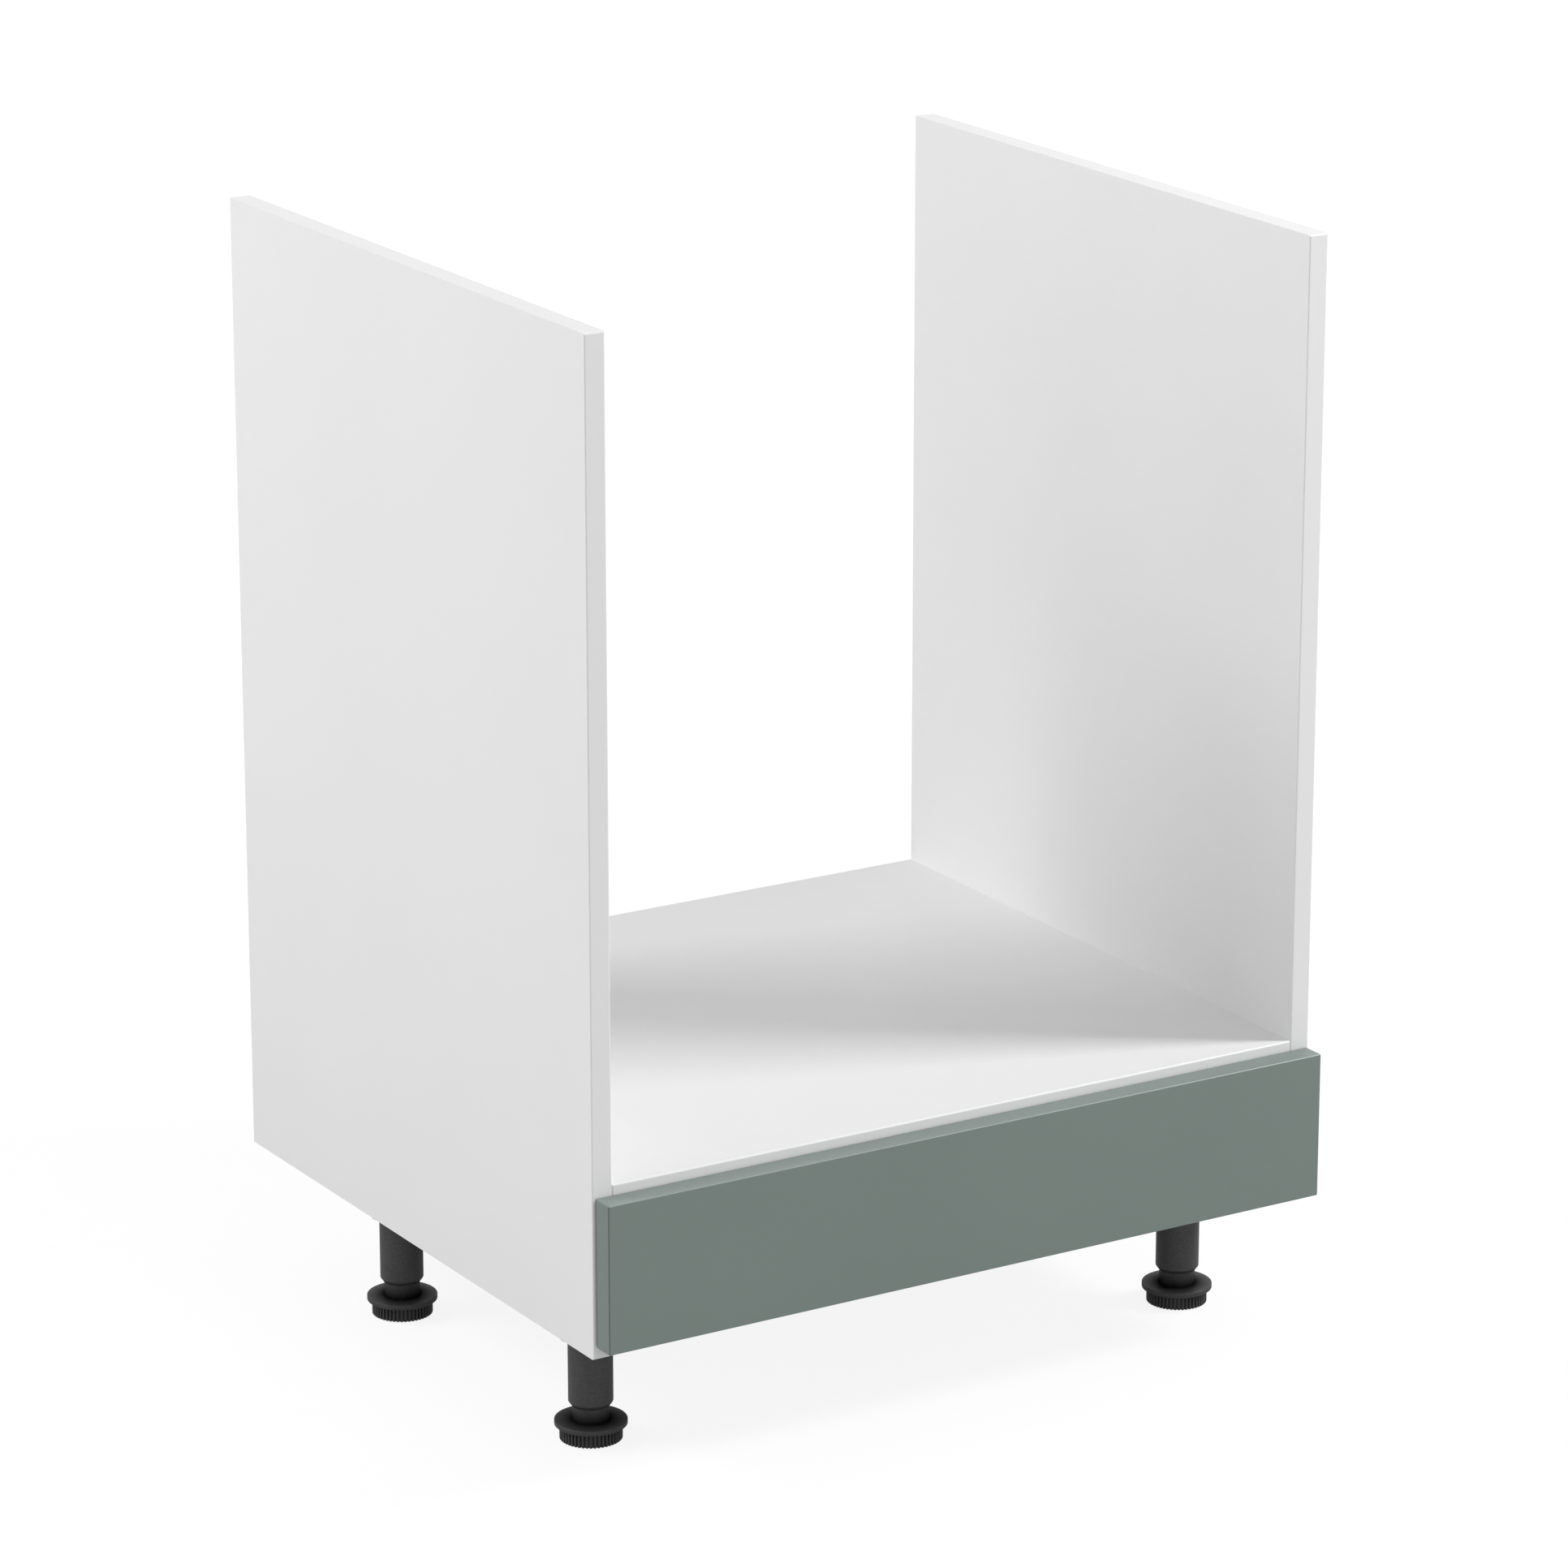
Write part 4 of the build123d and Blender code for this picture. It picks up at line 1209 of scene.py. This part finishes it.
@dataclass
class Studio:
    """Pale floor, white surroundings, soft lamps and the camera."""

    ambient: float = 0.445
    floor_half: float = 40.0
    floor_drop: float = 0.0002
    floor_grain: float = 0.05
    floor_shades: tuple[Colour, Colour] = ((0.93, 0.93, 0.93), (0.95, 0.95, 0.95))
    floor_dim: float = 0.45
    floor_glow: float = 0.84
    floor_mirrored: float = 0.25
    glow_strength: float = 1.04
    glow_full: Pair = (0.6, 1.6)
    camera_place: Vec = (-2.3279, -3.8003, 1.7612)
    camera_yaw: float = 31.533
    camera_pitch: float = 16.970
    focal: float = 7907.4
    photo_side: float = 1932.0
    sensor: float = 36.0
    lamps: tuple[Softbox, ...] = (
        Softbox("front_right_softbox", (0.70, -0.401, 0.60), 3.63, 0.8, 84.0),
        Softbox("rear_left_softbox", (-0.713, 0.376, 0.592), 3.76, 1.1, 51.0),
        Softbox("left_fill", (-0.97, 0.12, 0.2), 4.0, 2.5, 27.0),
        Softbox("front_fill", (-0.2, -0.96, 0.2), 4.2, 2.5, 20.0),
    )

    def build(self) -> None:
        """Set up everything round the cabinet."""
        target = (Vector(CAD_LOW) + Vector(CAD_HIGH)) / 2
        for lamp in self.lamps:
            lamp.build(target)
        self._world()
        self._floor()
        self._camera()
        bpy.context.scene.view_settings.view_transform = "Standard"

    def _world(self) -> None:
        """White where it is looked at or mirrored, dimmer where it only lights."""
        world = bpy.data.worlds.new("surroundings")
        world.use_nodes = True
        shading = Shading.on(world.node_tree)
        strength = {"Value": shading.seen(), "To Min": self.ambient, "To Max": 1.0}
        level = shading.out("ShaderNodeMapRange", strength)
        sky = shading.out("ShaderNodeBackground", {"Color": WHITE, "Strength": level})
        shading.node("ShaderNodeOutputWorld", {}, {"Surface": sky})
        bpy.context.scene.world = world

    def _floor(self) -> None:
        """Wide pale floor. It moves with a glide, as legs that are screwed out lift the cabinet."""
        half, low = self.floor_half, -self.floor_drop
        corners = [(-half, -half, low), (half, -half, low), (half, half, low), (-half, half, low)]
        mesh = bpy.data.meshes.new("floor")
        mesh.from_pydata(corners, [], [(0, 1, 2, 3)])
        floor = added("floor", mesh)
        mesh.materials.append(self._floor_material())
        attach(floor, "glide_front_left")

    def _floor_material(self) -> Material:
        """Matt, with the cabinet's soft shadow, and plain white farther out.

        Where it is looked at or mirrored, part of its light is its own, so that the background
        is as white as in the photograph. Straight on, that light is the surroundings showing
        through, so that a foot below the floor shows too. For all other rays the floor is dimmer
        and lights the cabinet less. From below it isn't there.
        """
        shading = Shading("pale_floor")
        place = shading.place()
        seen = shading.seen(self.floor_mirrored)
        pale = shading.mixed(shading.noise(place, self.floor_grain), *self.floor_shades)
        colour = shading.mixed(seen, (self.floor_dim,) * 3, pale)
        matt = shading.out("ShaderNodeBsdfDiffuse", {"Color": colour})
        glow = shading.out("ShaderNodeEmission", {"Strength": self.glow_strength})
        clear = shading.out("ShaderNodeBsdfTransparent")
        rest = shading.out("ShaderNodeEmission", {"Strength": self.glow_strength - 1.0})
        through = shading.out("ShaderNodeAddShader", {0: clear, 1: rest})
        straight = shading.node("ShaderNodeLightPath").outputs["Is Camera Ray"]
        own = shading.either(straight, glow, through)
        reach = shading.node("ShaderNodeVectorMath", {"operation": "LENGTH"}, {0: place})
        far = Number(shading, reach.outputs["Value"]).rise(*self.glow_full)
        share = seen * (self.floor_glow + (1.0 - self.floor_glow) * far)
        below = shading.node("ShaderNodeNewGeometry").outputs["Backfacing"]
        surface = shading.either(below, shading.either(share, matt, own), clear)
        shading.node("ShaderNodeOutputMaterial", {}, {"Surface": surface})
        return shading.material

    def _camera(self) -> None:
        """Camera at the photograph's place and angle."""
        data = bpy.data.cameras.new("camera")
        data.sensor_width = self.sensor
        data.lens = self.focal / self.photo_side * self.sensor
        camera = added("camera", data)
        camera.location = self.camera_place
        tilt = math.radians(90.0 - self.camera_pitch)
        camera.rotation_euler = Euler((tilt, 0.0, -math.radians(self.camera_yaw)))
        bpy.context.scene.camera = camera


def main() -> None:
    """Dress the cabinet, build its fine pieces and set the studio round it."""
    logging.basicConfig(level=logging.INFO, format="%(name)s: %(message)s")
    PackedPieces().build()
    for end, side in QUARTERS:
        ScrewedLeg(f"{end}_{side}").build()
    for end, side in QUARTERS:
        Roller(f"{end}_roller_{side}").build()
    for fasteners in FASTENERS:
        fasteners.build()
    Bumpers().build()
    Studio().build()


if __name__ == "__main__":
    main()
